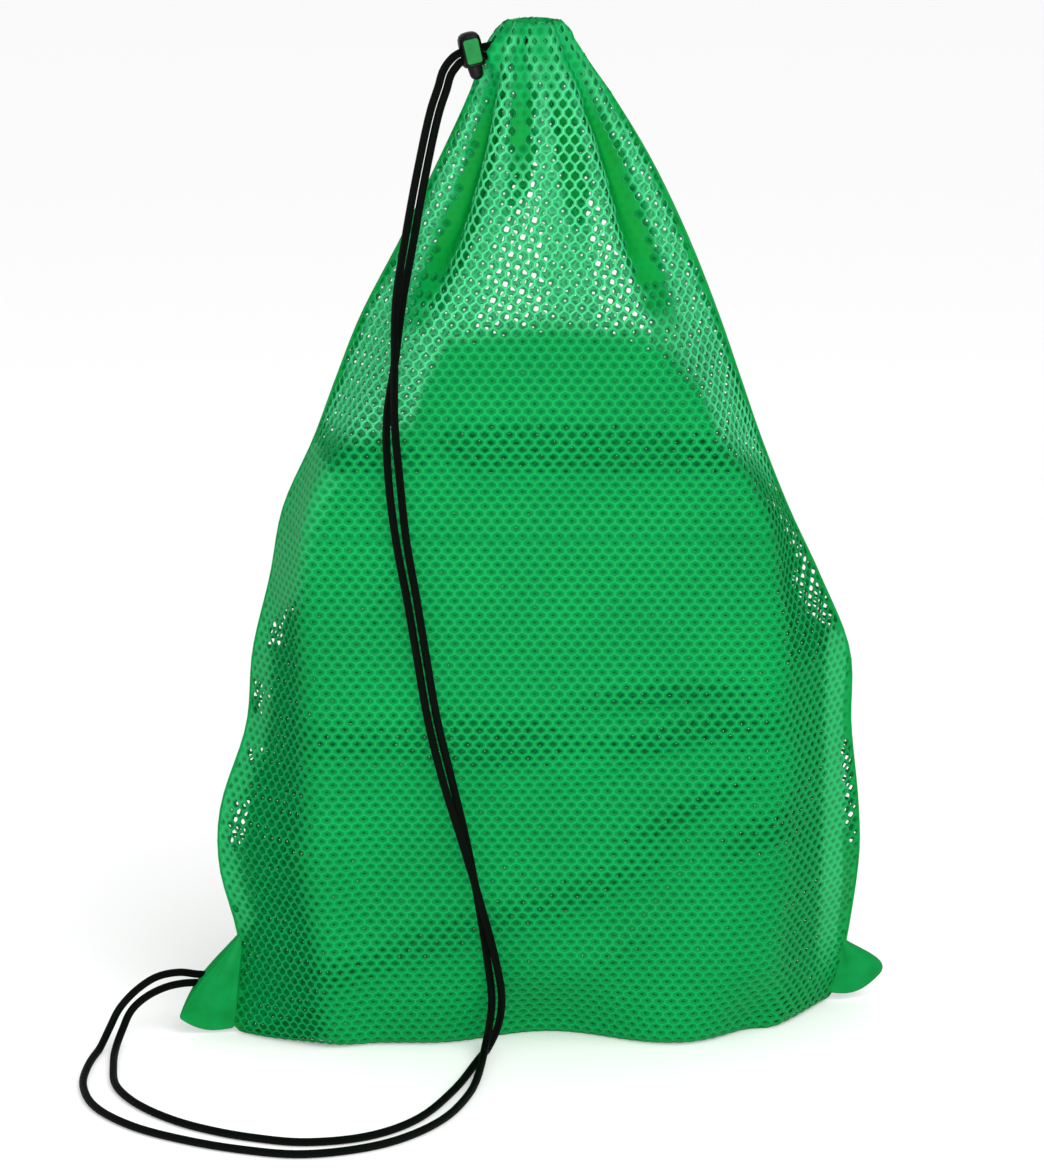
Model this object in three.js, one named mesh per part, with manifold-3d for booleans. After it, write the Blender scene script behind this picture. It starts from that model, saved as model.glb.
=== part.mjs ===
// Mesh drawstring equipment bag, standing in the form that a load gives it, empty, with its mouth drawn in.
// Millimetres, +Z up. The front faces -Y, and the origin is on the floor under the middle of the bag.
import * as THREE from "three";
import { mergeVertices } from "three/addons/utils/BufferGeometryUtils.js";
import Module from "manifold-3d";

const wasm = await Module();
wasm.setup();

// The tables below are measured from the middle of the mouth. This is the middle of the bag's box there.
const MIDDLE = { x: 4.74, y: -0.34 };

// Driving dimensions of the cloth
const CLOTH = 2; // wall of the knitted mesh
const GAP = 0.3; // between pieces that are sewn or laid together
const PANEL_TOP = 629.7; // where both panels meet the casing
const BASE_BEND = 10; // radius where the walls turn under onto the floor
const COLUMNS = 30; // of vertices across each panel
const BACK_FLAT_SHARE = 0.72; // the back is flat over less of its width than the front
const CORNER_TUCK = 16; // how far the base seam stops short of each side seam

// One row for each height: the side seams, the edges of the flat front, the depth before and behind
// the seams, and the softness of the two edges.
const SECTIONS = [
  { z: 0, left: -182, right: 197, edgeLeft: -122, edgeRight: 150, front: 57, back: 55, soft: 16 },
  { z: 22, left: -185, right: 204, edgeLeft: -126, edgeRight: 154, front: 61, back: 62, soft: 15 },
  { z: 62, left: -189, right: 210, edgeLeft: -131, edgeRight: 156, front: 63, back: 67, soft: 14 },
  { z: 110, left: -201, right: 214, edgeLeft: -136, edgeRight: 158, front: 63, back: 70, soft: 13 },
  { z: 147, left: -200, right: 212, edgeLeft: -138, edgeRight: 158, front: 63, back: 70, soft: 13 },
  { z: 200, left: -183, right: 206, edgeLeft: -140, edgeRight: 158, front: 62, back: 68, soft: 13 },
  { z: 250, left: -178, right: 204, edgeLeft: -142, edgeRight: 156, front: 60, back: 65, soft: 13 },
  { z: 300, left: -166, right: 184, edgeLeft: -143, edgeRight: 154, front: 57, back: 60, soft: 12 },
  { z: 345, left: -157, right: 163, edgeLeft: -141, edgeRight: 149, front: 54, back: 54, soft: 12 },
  { z: 390, left: -137, right: 145, edgeLeft: -122, edgeRight: 128, front: 50, back: 48, soft: 14 },
  { z: 430, left: -122, right: 131, edgeLeft: -96, edgeRight: 103, front: 46, back: 43, soft: 18 },
  { z: 470, left: -106, right: 117, edgeLeft: -66, edgeRight: 74, front: 41, back: 38, soft: 24 },
  { z: 520, left: -80, right: 97, edgeLeft: -46, edgeRight: 54, front: 34, back: 32, soft: 20 },
  { z: 570, left: -56, right: 73, edgeLeft: -32, edgeRight: 42, front: 27, back: 26, soft: 16 },
  { z: 610, left: -38, right: 49, edgeLeft: -22, edgeRight: 27, front: 22, back: 21, soft: 13 },
  { z: 630, left: -31.5, right: 35, edgeLeft: -16, edgeRight: 19, front: 19, back: 18, soft: 11 },
  { z: 637, left: -30.5, right: 31, edgeLeft: -14.5, edgeRight: 17, front: 18.5, back: 17.5, soft: 10.5 },
  { z: 643, left: -26, right: 27, edgeLeft: -13, edgeRight: 15, front: 18, back: 17, soft: 10 },
  { z: 657, left: -19, right: 21, edgeLeft: -10, edgeRight: 12, front: 16, back: 15, soft: 9 },
];

// Gathers that run down from the drawn mouth: share of the panel's width from its left seam, half
// width as a share, depth, and the height where the gather has opened out.
const FRONT_GATHERS = [
  { at: 0.17, half: 0.11, depth: 13, fades: 462 },
  { at: 0.32, half: 0.07, depth: 5, fades: 580 },
  { at: 0.46, half: 0.07, depth: 7, fades: 570 },
  { at: 0.63, half: 0.08, depth: 5, fades: 560 },
  { at: 0.82, half: 0.11, depth: 13, fades: 470 },
];
const BACK_GATHERS = [
  { at: 0.2, half: 0.12, depth: 11, fades: 470 },
  { at: 0.4, half: 0.1, depth: 6, fades: 550 },
  { at: 0.62, half: 0.1, depth: 7, fades: 540 },
  { at: 0.82, half: 0.12, depth: 11, fades: 480 },
];
const GATHER_OPENS = 70; // height over which a gather grows to its full depth
const GATHER_AT_CASING = 0.2; // share of that depth left where the casing holds it

// Pulls across the front, where the cloth is drawn tight between two places: height on the centre
// line, rise per millimetre to the right, half width and height of the ridge.
const FRONT_PULLS = [
  { z: 392, rise: 0, half: 15, height: 3.2 },
  { z: 212, rise: 0.03, half: 22, height: 2.2 },
  { z: 96, rise: 0.34, half: 20, height: 2.6 },
];

// Where the foot of a side seam is drawn to the front (-) or to the back (+): the reach across the bag,
// the shift on the floor, and the height where it ends.
const SEAM_SWAYS = [
  { from: -95, to: -188, shift: -34, fades: 230 },
  { from: 115, to: 200, shift: 22, fades: 200 },
];

// Hollows at the foot of the front: place across, half width, depth, and the height where each ends
const FOOT_DENTS = [
  { x: 12, half: 80, depth: 24, fades: 66 },
  { x: 158, half: 62, depth: 26, fades: 60 },
];

// Heights of the rings of vertices down each panel, from the casing to the bend at the floor. The two
// panels share the rings of the lower part, where the seams sway.
const LOW_HEIGHTS = [246, 212, 180, 147, 110, 80, 50, 24, BASE_BEND];
const FRONT_HEIGHTS = [
  PANEL_TOP, 614, 596, 576, 554, 530, 504, 478, 454, 430, 408, 392, 376, 345, 310, 275, ...LOW_HEIGHTS,
];
const BACK_HEIGHTS = [PANEL_TOP, 612, 590, 565, 535, 502, 470, 430, 390, 345, 295, ...LOW_HEIGHTS];
const BEND_ANGLES = [45, 90]; // steps round the bend, in degrees
const BASE_SHARES = [0.5, 0]; // rings across the base, as shares of its half depth

// Drawn mouth
const CASING_BOTTOM = PANEL_TOP + GAP;
const CASING_COLUMNS = 28; // round each half of the casing
const RUFFLES = 7; // small pleats on each half
const RUFFLE_HEIGHT = 1.3;
const THROAT = { halfWidth: 10.5, halfDepth: 6.5, x: 2 };
// Rings of the casing, from its outer foot over the crest and down into the throat: height, and how
// far the ring lies from the outside (0) to the throat (1).
const CASING_RINGS = [
  { z: CASING_BOTTOM, toThroat: 0 },
  { z: 636, toThroat: 0 },
  { z: 645, toThroat: 0 },
  { z: 651, toThroat: 0.08 },
  { z: 654.5, toThroat: 0.3 },
  { z: 655.5, toThroat: 0.55 },
  { z: 653, toThroat: 0.85 },
  { z: 648, toThroat: 1 },
  { z: CASING_BOTTOM, toThroat: 1 },
];

// Drawcord
const CORD = 5; // diameter
const CORD_SIDES = 8;
const CORD_APART = CORD + 0.5; // between the two strands where they lie together
const CASING_LOOP = { halfWidth: 15.2, halfDepth: 11, x: 2, z: 642, turns: 20 };

// Where the two strands run together, as points on the line between them: how far apart they lie, how
// far the pair has turned about that line, and how far what it lies on leans back from upright.
const PAIR_ROUTE = [
  { x: -48, y: -11.6, z: 630, apart: 5.5, turn: 0, lean: 0 },
  { x: -52, y: -12, z: 624, apart: 5.4, turn: 0, lean: 0 },
  { x: -54.7, y: -12, z: 615, apart: 5.4, turn: 0, lean: 0 },
  { x: -59.6, y: -11, z: 600, apart: 5.4, turn: 0, lean: 0 },
  { x: -69, y: -10, z: 557, apart: 5.4, turn: 0, lean: 0 },
  { x: -76, y: -13, z: 519, apart: 5.5, turn: 10, lean: 0 },
  { x: -82, y: -24, z: 484, apart: 5.8, turn: 45, lean: 10 },
  { x: -84.5, y: -46, z: 450, apart: 6.4, turn: 90, lean: 15 },
  { x: -87, y: -57, z: 415, apart: 6.6, turn: 140, lean: 5 },
  { x: -85, y: -59, z: 377, apart: 7, turn: 178, lean: 0 },
  { x: -81, y: -60, z: 339, apart: 6.4, turn: 180, lean: 0 },
  { x: -74.5, y: -62, z: 301, apart: 6, turn: 180, lean: 0 },
  { x: -68.5, y: -64, z: 263, apart: 5.8, turn: 180, lean: 0 },
  { x: -62, y: -67, z: 224, apart: 5.8, turn: 185, lean: 0 },
  { x: -53, y: -68.5, z: 185, apart: 6.4, turn: 215, lean: 0 },
  { x: -42.5, y: -70, z: 145, apart: 6.8, turn: 250, lean: 0 },
  { x: -33, y: -73, z: 105, apart: 6.8, turn: 285, lean: 0 },
  { x: -25, y: -71, z: 63, apart: 6.4, turn: 330, lean: 0 },
  { x: -22, y: -62, z: 33, apart: 6.4, turn: 365, lean: 10 },
  { x: -24, y: -63, z: 17, apart: 7.4, turn: 405, lean: 40 },
  { x: -28.5, y: -71, z: 6.5, apart: 7.4, turn: 450, lean: 90 },
];

// The two strands apart, over the floor and up into the left corner
const STRAND_ROUTES = {
  a: [
    { x: -37, y: -134, z: 2.7 },
    { x: -55, y: -182, z: 2.7 },
    { x: -82, y: -213, z: 2.7 },
    { x: -110, y: -228, z: 2.7 },
    { x: -142, y: -234, z: 2.7 },
    { x: -176, y: -227, z: 2.7 },
    { x: -211, y: -213, z: 2.7 },
    { x: -245, y: -192, z: 2.7 },
    { x: -271, y: -162, z: 2.7 },
    { x: -282, y: -128, z: 2.7 },
    { x: -282, y: -95, z: 2.7 },
    { x: -277, y: -67, z: 3.5 },
    { x: -272, y: -55, z: 12 },
    { x: -266, y: -50, z: 23 },
    { x: -255, y: -45, z: 34 },
    { x: -242, y: -41, z: 41.5 },
    { x: -228, y: -37, z: 43 },
    { x: -216, y: -33.6, z: 40.4 },
    { x: -197, y: -32, z: 38.8 },
  ],
  b: [
    { x: -48, y: -134, z: 2.7 },
    { x: -69, y: -179, z: 2.7 },
    { x: -90, y: -201, z: 2.7 },
    { x: -112, y: -212, z: 2.7 },
    { x: -141, y: -216, z: 2.7 },
    { x: -168, y: -210, z: 2.7 },
    { x: -193, y: -200, z: 2.7 },
    { x: -219, y: -184, z: 2.7 },
    { x: -245, y: -158, z: 2.7 },
    { x: -261, y: -129, z: 2.7 },
    { x: -266, y: -96, z: 2.7 },
    { x: -267, y: -66, z: 3.5 },
    { x: -264, y: -53, z: 10 },
    { x: -259, y: -47, z: 20 },
    { x: -250, y: -42, z: 27.5 },
    { x: -238, y: -39, z: 33 },
    { x: -227, y: -37, z: 35.2 },
    { x: -215, y: -33.6, z: 34.6 },
    { x: -197, y: -32, z: 33.1 },
  ],
};

// Cord lock: a flattened barrel on the two strands, with a sprung plunger from below
const LOCK = {
  x: -36.8, y: -10, z: 636.8, tilt: THREE.MathUtils.degToRad(-12.8), turn: THREE.MathUtils.degToRad(10),
};
const BARREL = { width: 14.2, depth: 14, bottom: -8.75, top: 12.5, bore: 10, roof: 9.5, square: 2.8, sides: 24 };
const ROUND_SIDES = 20; // of the plunger and its bore
const SLOT = { width: CORD + 0.8, half: CORD_APART / 2 + CORD / 2 + 0.35, middle: -1.6 };
const PLUNGER = { diameter: 9.4, top: 6.2, bottom: -17.3, travel: 3, tip: 7.6, tapers: -9.6, round: 3 };
const INLAY = { width: 9.4, bottom: -6.4, top: 8.7, corner: 1.6, thick: 1.3, proud: 0.2 };

// Sewn corners at the foot of the side seams: heights along the seam, reach of the free edge at the
// top and bottom, and how far the tip leans to the front.
const CORNERS = [
  { name: "corner_left", side: "left", turn: -1, top: 60, bottom: 3.2, reach: 44, lean: 6, lift: 9, thick: 9.4 },
  { name: "corner_right", side: "right", turn: 1, top: 44, bottom: 6, reach: 36, lean: -10, lift: 12, thick: 4.4 },
];
const CORNER_ROWS = 7;
const CORNER_COLUMNS = 5;
const CORNER_EDGE = 3.2; // thickness of the free edge

// Materials, from the photograph
const meshGreen = new THREE.MeshStandardMaterial({ color: 0x159f50, roughness: 0.72 });
const lockBlack = new THREE.MeshStandardMaterial({ color: 0x101210, roughness: 0.38 });
const lockGreen = new THREE.MeshStandardMaterial({ color: 0x0e8f3d, roughness: 0.42 });
const cordBlack = new THREE.MeshStandardMaterial({ color: 0x0b0f0b, roughness: 0.8 });

// Value of one column of SECTIONS at any height, on a smooth curve through the rows.
function column(name, z) {
  const last = SECTIONS.length - 1;
  const i = Math.min(Math.max(SECTIONS.findIndex((row) => row.z > z) - 1, 0), last - 1);
  const k = z >= SECTIONS[last].z ? last - 1 : i;
  const slope = (n) => {
    const below = SECTIONS[Math.max(n - 1, 0)];
    const above = SECTIONS[Math.min(n + 1, last)];
    return (above[name] - below[name]) / (above.z - below.z);
  };
  const a = SECTIONS[k];
  const b = SECTIONS[k + 1];
  const h = b.z - a.z;
  const t = THREE.MathUtils.clamp((z - a.z) / h, 0, 1);
  const t2 = t * t;
  const t3 = t2 * t;
  return (
    a[name] * (2 * t3 - 3 * t2 + 1) +
    slope(k) * h * (t3 - 2 * t2 + t) +
    b[name] * (3 * t2 - 2 * t3) +
    slope(k + 1) * h * (t3 - t2)
  );
}

// The section of one side at a height, taken in by inset so that walls keep an even thickness.
function sectionAt(side, z, inset) {
  const flat = side === "front" ? 1 : BACK_FLAT_SHARE;
  const deep = column(side, z);
  const left = column("left", z);
  const right = column("right", z);
  const edgeLeft = column("edgeLeft", z) * flat;
  const edgeRight = column("edgeRight", z) * flat;
  const slopeLeft = (edgeLeft - left) / deep;
  const slopeRight = (right - edgeRight) / deep;
  const inLeft = inset * Math.hypot(slopeLeft, 1);
  const inRight = inset * Math.hypot(slopeRight, 1);
  return {
    left: left + inLeft,
    right: right - inRight,
    edgeLeft: edgeLeft + inLeft - inset * slopeLeft,
    edgeRight: edgeRight - inRight + inset * slopeRight,
    deep: deep - inset,
    soft: column("soft", z) * (side === "front" ? 1 : 2),
  };
}

// The section as a path from the left seam to the right one, x across and y as depth off the seams.
function sectionPath(section) {
  const corners = [
    new THREE.Vector2(section.left, 0),
    new THREE.Vector2(section.edgeLeft, section.deep),
    new THREE.Vector2(section.edgeRight, section.deep),
    new THREE.Vector2(section.right, 0),
  ];
  const path = new THREE.Path().moveTo(corners[0].x, corners[0].y);
  for (const i of [1, 2]) {
    const before = corners[i - 1].clone().sub(corners[i]);
    const after = corners[i + 1].clone().sub(corners[i]);
    const trim = Math.min(section.soft, before.length() * 0.6, after.length() * 0.45);
    const from = corners[i].clone().add(before.setLength(trim));
    const to = corners[i].clone().add(after.setLength(trim));
    path.lineTo(from.x, from.y);
    path.quadraticCurveTo(corners[i].x, corners[i].y, to.x, to.y);
  }
  path.lineTo(corners[3].x, corners[3].y);
  return path;
}

function gatherDepth(gathers, share, z) {
  const held = THREE.MathUtils.smoothstep(z, 560, 640);
  return gathers.reduce((sum, g) => {
    const off = Math.abs(share - g.at) / g.half;
    if (off >= 1) return sum;
    const opened = THREE.MathUtils.smoothstep(z, g.fades, g.fades + GATHER_OPENS);
    const depth = g.depth * opened * THREE.MathUtils.lerp(1, GATHER_AT_CASING, held);
    return sum + (depth * (1 + Math.cos(Math.PI * off))) / 2;
  }, 0);
}

function pullHeight(x, z) {
  return FRONT_PULLS.reduce((sum, p) => {
    const off = (z - p.z - p.rise * x) / p.half;
    return sum + p.height * Math.exp(-off * off);
  }, 0);
}

function footDent(x, z) {
  return FOOT_DENTS.reduce((sum, dent) => {
    const off = Math.min(Math.abs(x - dent.x) / dent.half, 1);
    const low = 1 - THREE.MathUtils.smoothstep(z, 0, dent.fades);
    return sum + (dent.depth * low * (1 + Math.cos(Math.PI * off))) / 2;
  }, 0);
}

// How far the seams' sway moves a point to the back.
function swayAt(x, z) {
  return SEAM_SWAYS.reduce((sum, { from, to, shift, fades }) => {
    const t = THREE.MathUtils.clamp((x - from) / (to - from), 0, 1);
    const low = 1 - THREE.MathUtils.smoothstep(z, 0, fades);
    return sum + shift * low * t * t * (3 - 2 * t);
  }, 0);
}

// Points across one side at a height, from the left seam to the right: x, and depth off the seams.
function acrossSide(side, z, columns, inset) {
  const gathers = side === "front" ? FRONT_GATHERS : BACK_GATHERS;
  const section = sectionAt(side, z, inset);
  const points = sectionPath(section).getSpacedPoints(columns);
  return points.map((point, j) => {
    const before = points[Math.max(j - 1, 0)];
    const after = points[Math.min(j + 1, columns)];
    const along = after.clone().sub(before).normalize();
    const inward = gatherDepth(gathers, j / columns, z);
    const flat = THREE.MathUtils.clamp(point.y / section.deep, 0, 1);
    const outward = side === "front" ? (pullHeight(point.x, z) - footDent(point.x, z)) * flat ** 4 : 0;
    const depth = point.y + (outward - inward) * along.x;
    const seam = j === 0 || j === columns;
    return new THREE.Vector2(point.x + inward * along.y, seam ? 0 : Math.max(depth, 0.4));
  });
}

// Rings of one face of a panel, down the wall, round the bend and across the base to the seam.
function panelRings(side, heights, columns, inset) {
  const facing = side === "front" ? -1 : 1;
  const place = (point, share, z) =>
    new THREE.Vector3(point.x, swayAt(point.x, z) + facing * (GAP / 2 + point.y * share), z);
  const wall = heights.map((z) => acrossSide(side, z, columns, inset).map((point) => place(point, 1, z)));
  const foot = acrossSide(side, BASE_BEND, columns, inset);
  const middle = (foot[0].x + foot[columns].x) / 2;
  const half = (foot[columns].x - foot[0].x) / 2;
  const deep = Math.max(...foot.map((point) => point.y));
  const turned = (tuck, share, z, even) =>
    foot.map((point, j) => {
      const x = THREE.MathUtils.lerp(point.x, middle + half * ((2 * j) / columns - 1), even);
      return place(new THREE.Vector2(middle + (x - middle) * (1 - tuck / half), point.y), share, z);
    });
  const bend = BEND_ANGLES.map((degrees) => {
    const angle = THREE.MathUtils.degToRad(degrees);
    const inwards = (BASE_BEND - inset) * (1 - Math.cos(angle));
    const z = BASE_BEND - (BASE_BEND - inset) * Math.sin(angle);
    return turned(inwards, 1 - inwards / deep, z, 0);
  });
  const footShare = 1 - (BASE_BEND - inset) / deep;
  const base = BASE_SHARES.map((share) => {
    const tuck = BASE_BEND + (CORNER_TUCK - BASE_BEND) * (1 - share);
    return turned(tuck, footShare * share, inset, 1 - share);
  });
  return [...wall, ...bend, ...base];
}

// A closed wall between two grids of points with the same rows and columns.
function wallGeometry(outer, inner, flipped = false) {
  const rows = outer.length;
  const columns = outer[0].length;
  const points = [...outer.flat(), ...inner.flat()];
  const o = (i, j) => i * columns + j;
  const n = (i, j) => rows * columns + i * columns + j;
  const faces = [];
  const quad = (a, b, c, d) => faces.push(...(flipped ? [a, c, b, a, d, c] : [a, b, c, a, c, d]));
  for (let i = 0; i < rows - 1; i++) {
    for (let j = 0; j < columns - 1; j++) {
      quad(o(i, j), o(i + 1, j), o(i + 1, j + 1), o(i, j + 1));
      quad(n(i, j), n(i, j + 1), n(i + 1, j + 1), n(i + 1, j));
    }
    quad(o(i, 0), n(i, 0), n(i + 1, 0), o(i + 1, 0));
    quad(o(i, columns - 1), o(i + 1, columns - 1), n(i + 1, columns - 1), n(i, columns - 1));
  }
  for (let j = 0; j < columns - 1; j++) {
    quad(o(0, j), o(0, j + 1), n(0, j + 1), n(0, j));
    quad(o(rows - 1, j), n(rows - 1, j), n(rows - 1, j + 1), o(rows - 1, j + 1));
  }
  return new THREE.BufferGeometry().setFromPoints(points).setIndex(faces);
}

// A closed ring through rings of points that run round and return to the first one.
function ringGeometry(rings) {
  const columns = rings[0].length;
  const faces = [];
  rings.forEach((ring, i) => {
    const below = i * columns;
    const above = ((i + 1) % rings.length) * columns;
    ring.forEach((point, j) => {
      const next = (j + 1) % columns;
      faces.push(below + j, below + next, above + next, below + j, above + next, above + j);
    });
  });
  return new THREE.BufferGeometry().setFromPoints(rings.flat()).setIndex(faces);
}

// Solids for cutting
function solidOf(geometry) {
  const bare = geometry.clone();
  bare.deleteAttribute("normal");
  bare.deleteAttribute("uv");
  const merged = mergeVertices(bare, 1e-3);
  const vertProperties = new Float32Array(merged.attributes.position.array);
  const triVerts = new Uint32Array(merged.index.array);
  return new wasm.Manifold(new wasm.Mesh({ numProp: 3, vertProperties, triVerts }));
}

function geometryOf(solid) {
  const mesh = solid.getMesh();
  const position = new THREE.BufferAttribute(new Float32Array(mesh.vertProperties), 3);
  const index = new THREE.BufferAttribute(new Uint32Array(mesh.triVerts), 1);
  return new THREE.BufferGeometry().setAttribute("position", position).setIndex(index);
}

function cut(geometry, ...tools) {
  return geometryOf(tools.reduce((solid, tool) => solid.subtract(solidOf(tool)), solidOf(geometry)));
}

// A curve whose steps follow its own points, so that close points give fine steps.
class Route extends THREE.CatmullRomCurve3 {
  constructor(points) {
    super(points, false, "centripetal");
  }
  getUtoTmapping(u) {
    return u;
  }
}

// The points with each end carried on by a length.
function lengthened(points, length) {
  const beyond = (end, before) => end.clone().add(end.clone().sub(before).setLength(length));
  const last = points.length - 1;
  return [beyond(points[0], points[1]), ...points, beyond(points[last], points[last - 1])];
}

function tubeGeometry(points, diameter) {
  const section = new THREE.Shape();
  section.absarc(0, 0, diameter / 2, 0, 2 * Math.PI);
  return new THREE.ExtrudeGeometry(section, {
    steps: points.length - 1,
    curveSegments: CORD_SIDES / 2,
    bevelEnabled: false,
    extrudePath: new Route(points),
  });
}

// Panels of mesh cloth
function panel(side, heights) {
  const outer = panelRings(side, heights, COLUMNS, 0);
  const inner = panelRings(side, heights, COLUMNS, CLOTH);
  return wallGeometry(outer, inner, side === "back");
}

// Where the lock's cross slot lies, and the two strands' ends at the casing
const lockPlace = new THREE.Matrix4()
  .makeRotationY(LOCK.tilt)
  .multiply(new THREE.Matrix4().makeRotationZ(LOCK.turn))
  .setPosition(LOCK.x, LOCK.y, LOCK.z);
const inLock = (along, up) => new THREE.Vector3(along, 0, up).applyMatrix4(lockPlace);
const strandUp = { a: SLOT.middle + CORD_APART / 2, b: SLOT.middle - CORD_APART / 2 };
const PORT_ALONG = 11; // where the casing's loop of cord meets each strand, along the slot

// The cord's turn round the mouth, from one strand's end to the other's.
function casingLoopPoints() {
  const { halfWidth, halfDepth, x, z, turns } = CASING_LOOP;
  const first = THREE.MathUtils.degToRad(205);
  const sweep = THREE.MathUtils.degToRad(310);
  const round = Array.from({ length: turns + 1 }, (_, i) => {
    const angle = first + (sweep * i) / turns;
    const drop = THREE.MathUtils.lerp(2, -2, i / turns);
    return new THREE.Vector3(x + halfWidth * Math.cos(angle), halfDepth * Math.sin(angle), z + drop);
  });
  return [inLock(PORT_ALONG, strandUp.a), inLock(PORT_ALONG + 6, strandUp.a), ...round,
    inLock(PORT_ALONG + 6, strandUp.b), inLock(PORT_ALONG, strandUp.b)];
}

// One strand, from the casing through the lock and on to the corner.
function strandPoints(name) {
  const sign = name === "a" ? 1 : -1;
  const start = [PORT_ALONG - GAP, -7.6].map((along) => inLock(along, strandUp[name]));
  const point = ({ x, y, z }) => new THREE.Vector3(x, y, z);
  const loopStart = point(STRAND_ROUTES.a[0]).lerp(point(STRAND_ROUTES.b[0]), 0.5);
  const line = [inLock(-7.6, SLOT.middle), ...PAIR_ROUTE.map(point), loopStart];
  const pair = PAIR_ROUTE.map(({ apart, turn, lean }, i) => {
    const along = line[i + 2].clone().sub(line[i]).normalize();
    const leaning = THREE.MathUtils.degToRad(lean);
    const turned = THREE.MathUtils.degToRad(turn);
    const out = new THREE.Vector3(0, -Math.cos(leaning), Math.sin(leaning));
    const side = along.cross(out).normalize();
    const off = side.multiplyScalar(Math.cos(turned)).addScaledVector(out, Math.sin(turned));
    return line[i + 1].clone().addScaledVector(off, (sign * apart) / 2);
  });
  return [...start, ...pair, ...STRAND_ROUTES[name].map(point)];
}

// The bunched hem that carries the cord
function casing() {
  const rings = CASING_RINGS.map(({ z, toThroat }) => {
    const half = (side) => acrossSide(side, z, CASING_COLUMNS, 0);
    const outside = [
      ...half("front").map((point) => new THREE.Vector2(point.x, -point.y)),
      ...half("back").slice(1, -1).reverse(),
    ];
    return outside.map((point, j) => {
      const angle = Math.atan2(point.y / THROAT.halfDepth, (point.x - THROAT.x) / THROAT.halfWidth);
      const ruffle = RUFFLE_HEIGHT * Math.sin((Math.PI * RUFFLES * 2 * j) / CASING_COLUMNS) * (1 - toThroat);
      const throat = new THREE.Vector2(
        THROAT.x + THROAT.halfWidth * Math.cos(angle),
        THROAT.halfDepth * Math.sin(angle),
      );
      const out = point.clone().sub(throat).normalize().multiplyScalar(ruffle);
      const placed = point.clone().add(out).lerp(throat, toThroat);
      return new THREE.Vector3(placed.x, placed.y, z);
    });
  });
  const channel = tubeGeometry(lengthened(casingLoopPoints(), 6), CORD + 2 * GAP + 0.2);
  return cut(ringGeometry(rings), channel);
}

// Sewn corners
function cornerGeometry(corner) {
  const grid = (face) =>
    Array.from({ length: CORNER_ROWS + 1 }, (_, i) => {
      const down = i / CORNER_ROWS;
      const z = THREE.MathUtils.lerp(corner.top, corner.bottom, down);
      const seam = column(corner.side, z) + corner.turn * 3 * GAP;
      const reach = 2 + (corner.reach - 2) * Math.sin((down * Math.PI) / 2) ** 1.2;
      return Array.from({ length: CORNER_COLUMNS + 1 }, (_, j) => {
        const out = j / CORNER_COLUMNS;
        const swell = Math.sin(Math.PI * Math.min(down * 1.15, 1)) * (1 - 0.3 * out * out);
        const thick = CORNER_EDGE + (corner.thick - CORNER_EDGE) * swell;
        const lean = swayAt(seam, z) - corner.lean * out ** 2 * down;
        return new THREE.Vector3(
          seam + corner.turn * reach * out,
          lean + (face * thick) / 2,
          z + corner.lift * out * down,
        );
      });
    });
  const pad = wallGeometry(grid(-1), grid(1), corner.turn < 0);
  if (corner.side !== "left") return pad;
  const holes = ["a", "b"].map((name) => tubeGeometry(lengthened(strandPoints(name).slice(-4), 1), CORD + 2 * GAP + 0.2));
  return cut(pad, ...holes);
}

// Cord lock
function barrelOutline(share) {
  const points = Array.from({ length: BARREL.sides }, (_, i) => {
    const angle = (2 * Math.PI * i) / BARREL.sides;
    const power = 2 / BARREL.square;
    const c = Math.cos(angle);
    const s = Math.sin(angle);
    return new THREE.Vector2(
      (Math.sign(c) * Math.abs(c) ** power * BARREL.width * share) / 2,
      (Math.sign(s) * Math.abs(s) ** power * BARREL.depth * share) / 2,
    );
  });
  return points;
}

// A closed solid through outlines of equal count at rising heights, with flat ends.
function loftGeometry(levels) {
  const count = levels[0].outline.length;
  const points = levels.flatMap(({ outline, z }) => outline.map((p) => new THREE.Vector3(p.x, p.y, z)));
  const faces = [];
  for (let k = 0; k < levels.length - 1; k++) {
    for (let j = 0; j < count; j++) {
      const next = (j + 1) % count;
      const low = k * count;
      const high = low + count;
      faces.push(low + j, low + next, high + next, low + j, high + next, high + j);
    }
  }
  const last = (levels.length - 1) * count;
  for (let j = 1; j < count - 1; j++) {
    faces.push(0, j + 1, j, last, last + j, last + j + 1);
  }
  return new THREE.BufferGeometry().setFromPoints(points).setIndex(faces);
}

// A round-ended slot that runs through the lock along X, from bottom to top.
function slotTool(bottom, top) {
  const r = SLOT.width / 2;
  const shape = new THREE.Shape();
  shape.absarc(0, top - r, r, 0, Math.PI);
  shape.absarc(0, bottom + r, r, Math.PI, 2 * Math.PI);
  const tool = new THREE.ExtrudeGeometry(shape, { depth: 30, bevelEnabled: false, curveSegments: 5 });
  return tool.translate(0, 0, -15).rotateX(Math.PI / 2).rotateZ(Math.PI / 2);
}

function inlayShape(grow) {
  const w = INLAY.width / 2 + grow;
  const low = INLAY.bottom - grow;
  const high = INLAY.top + grow;
  const r = INLAY.corner;
  const shape = new THREE.Shape();
  shape.absarc(w - r, high - r, r, 0, Math.PI / 2);
  shape.absarc(-w + r, high - r, r, Math.PI / 2, Math.PI);
  shape.absarc(-w + r, low + r, r, Math.PI, Math.PI * 1.5);
  shape.absarc(w - r, low + r, r, Math.PI * 1.5, Math.PI * 2);
  return shape;
}

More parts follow.
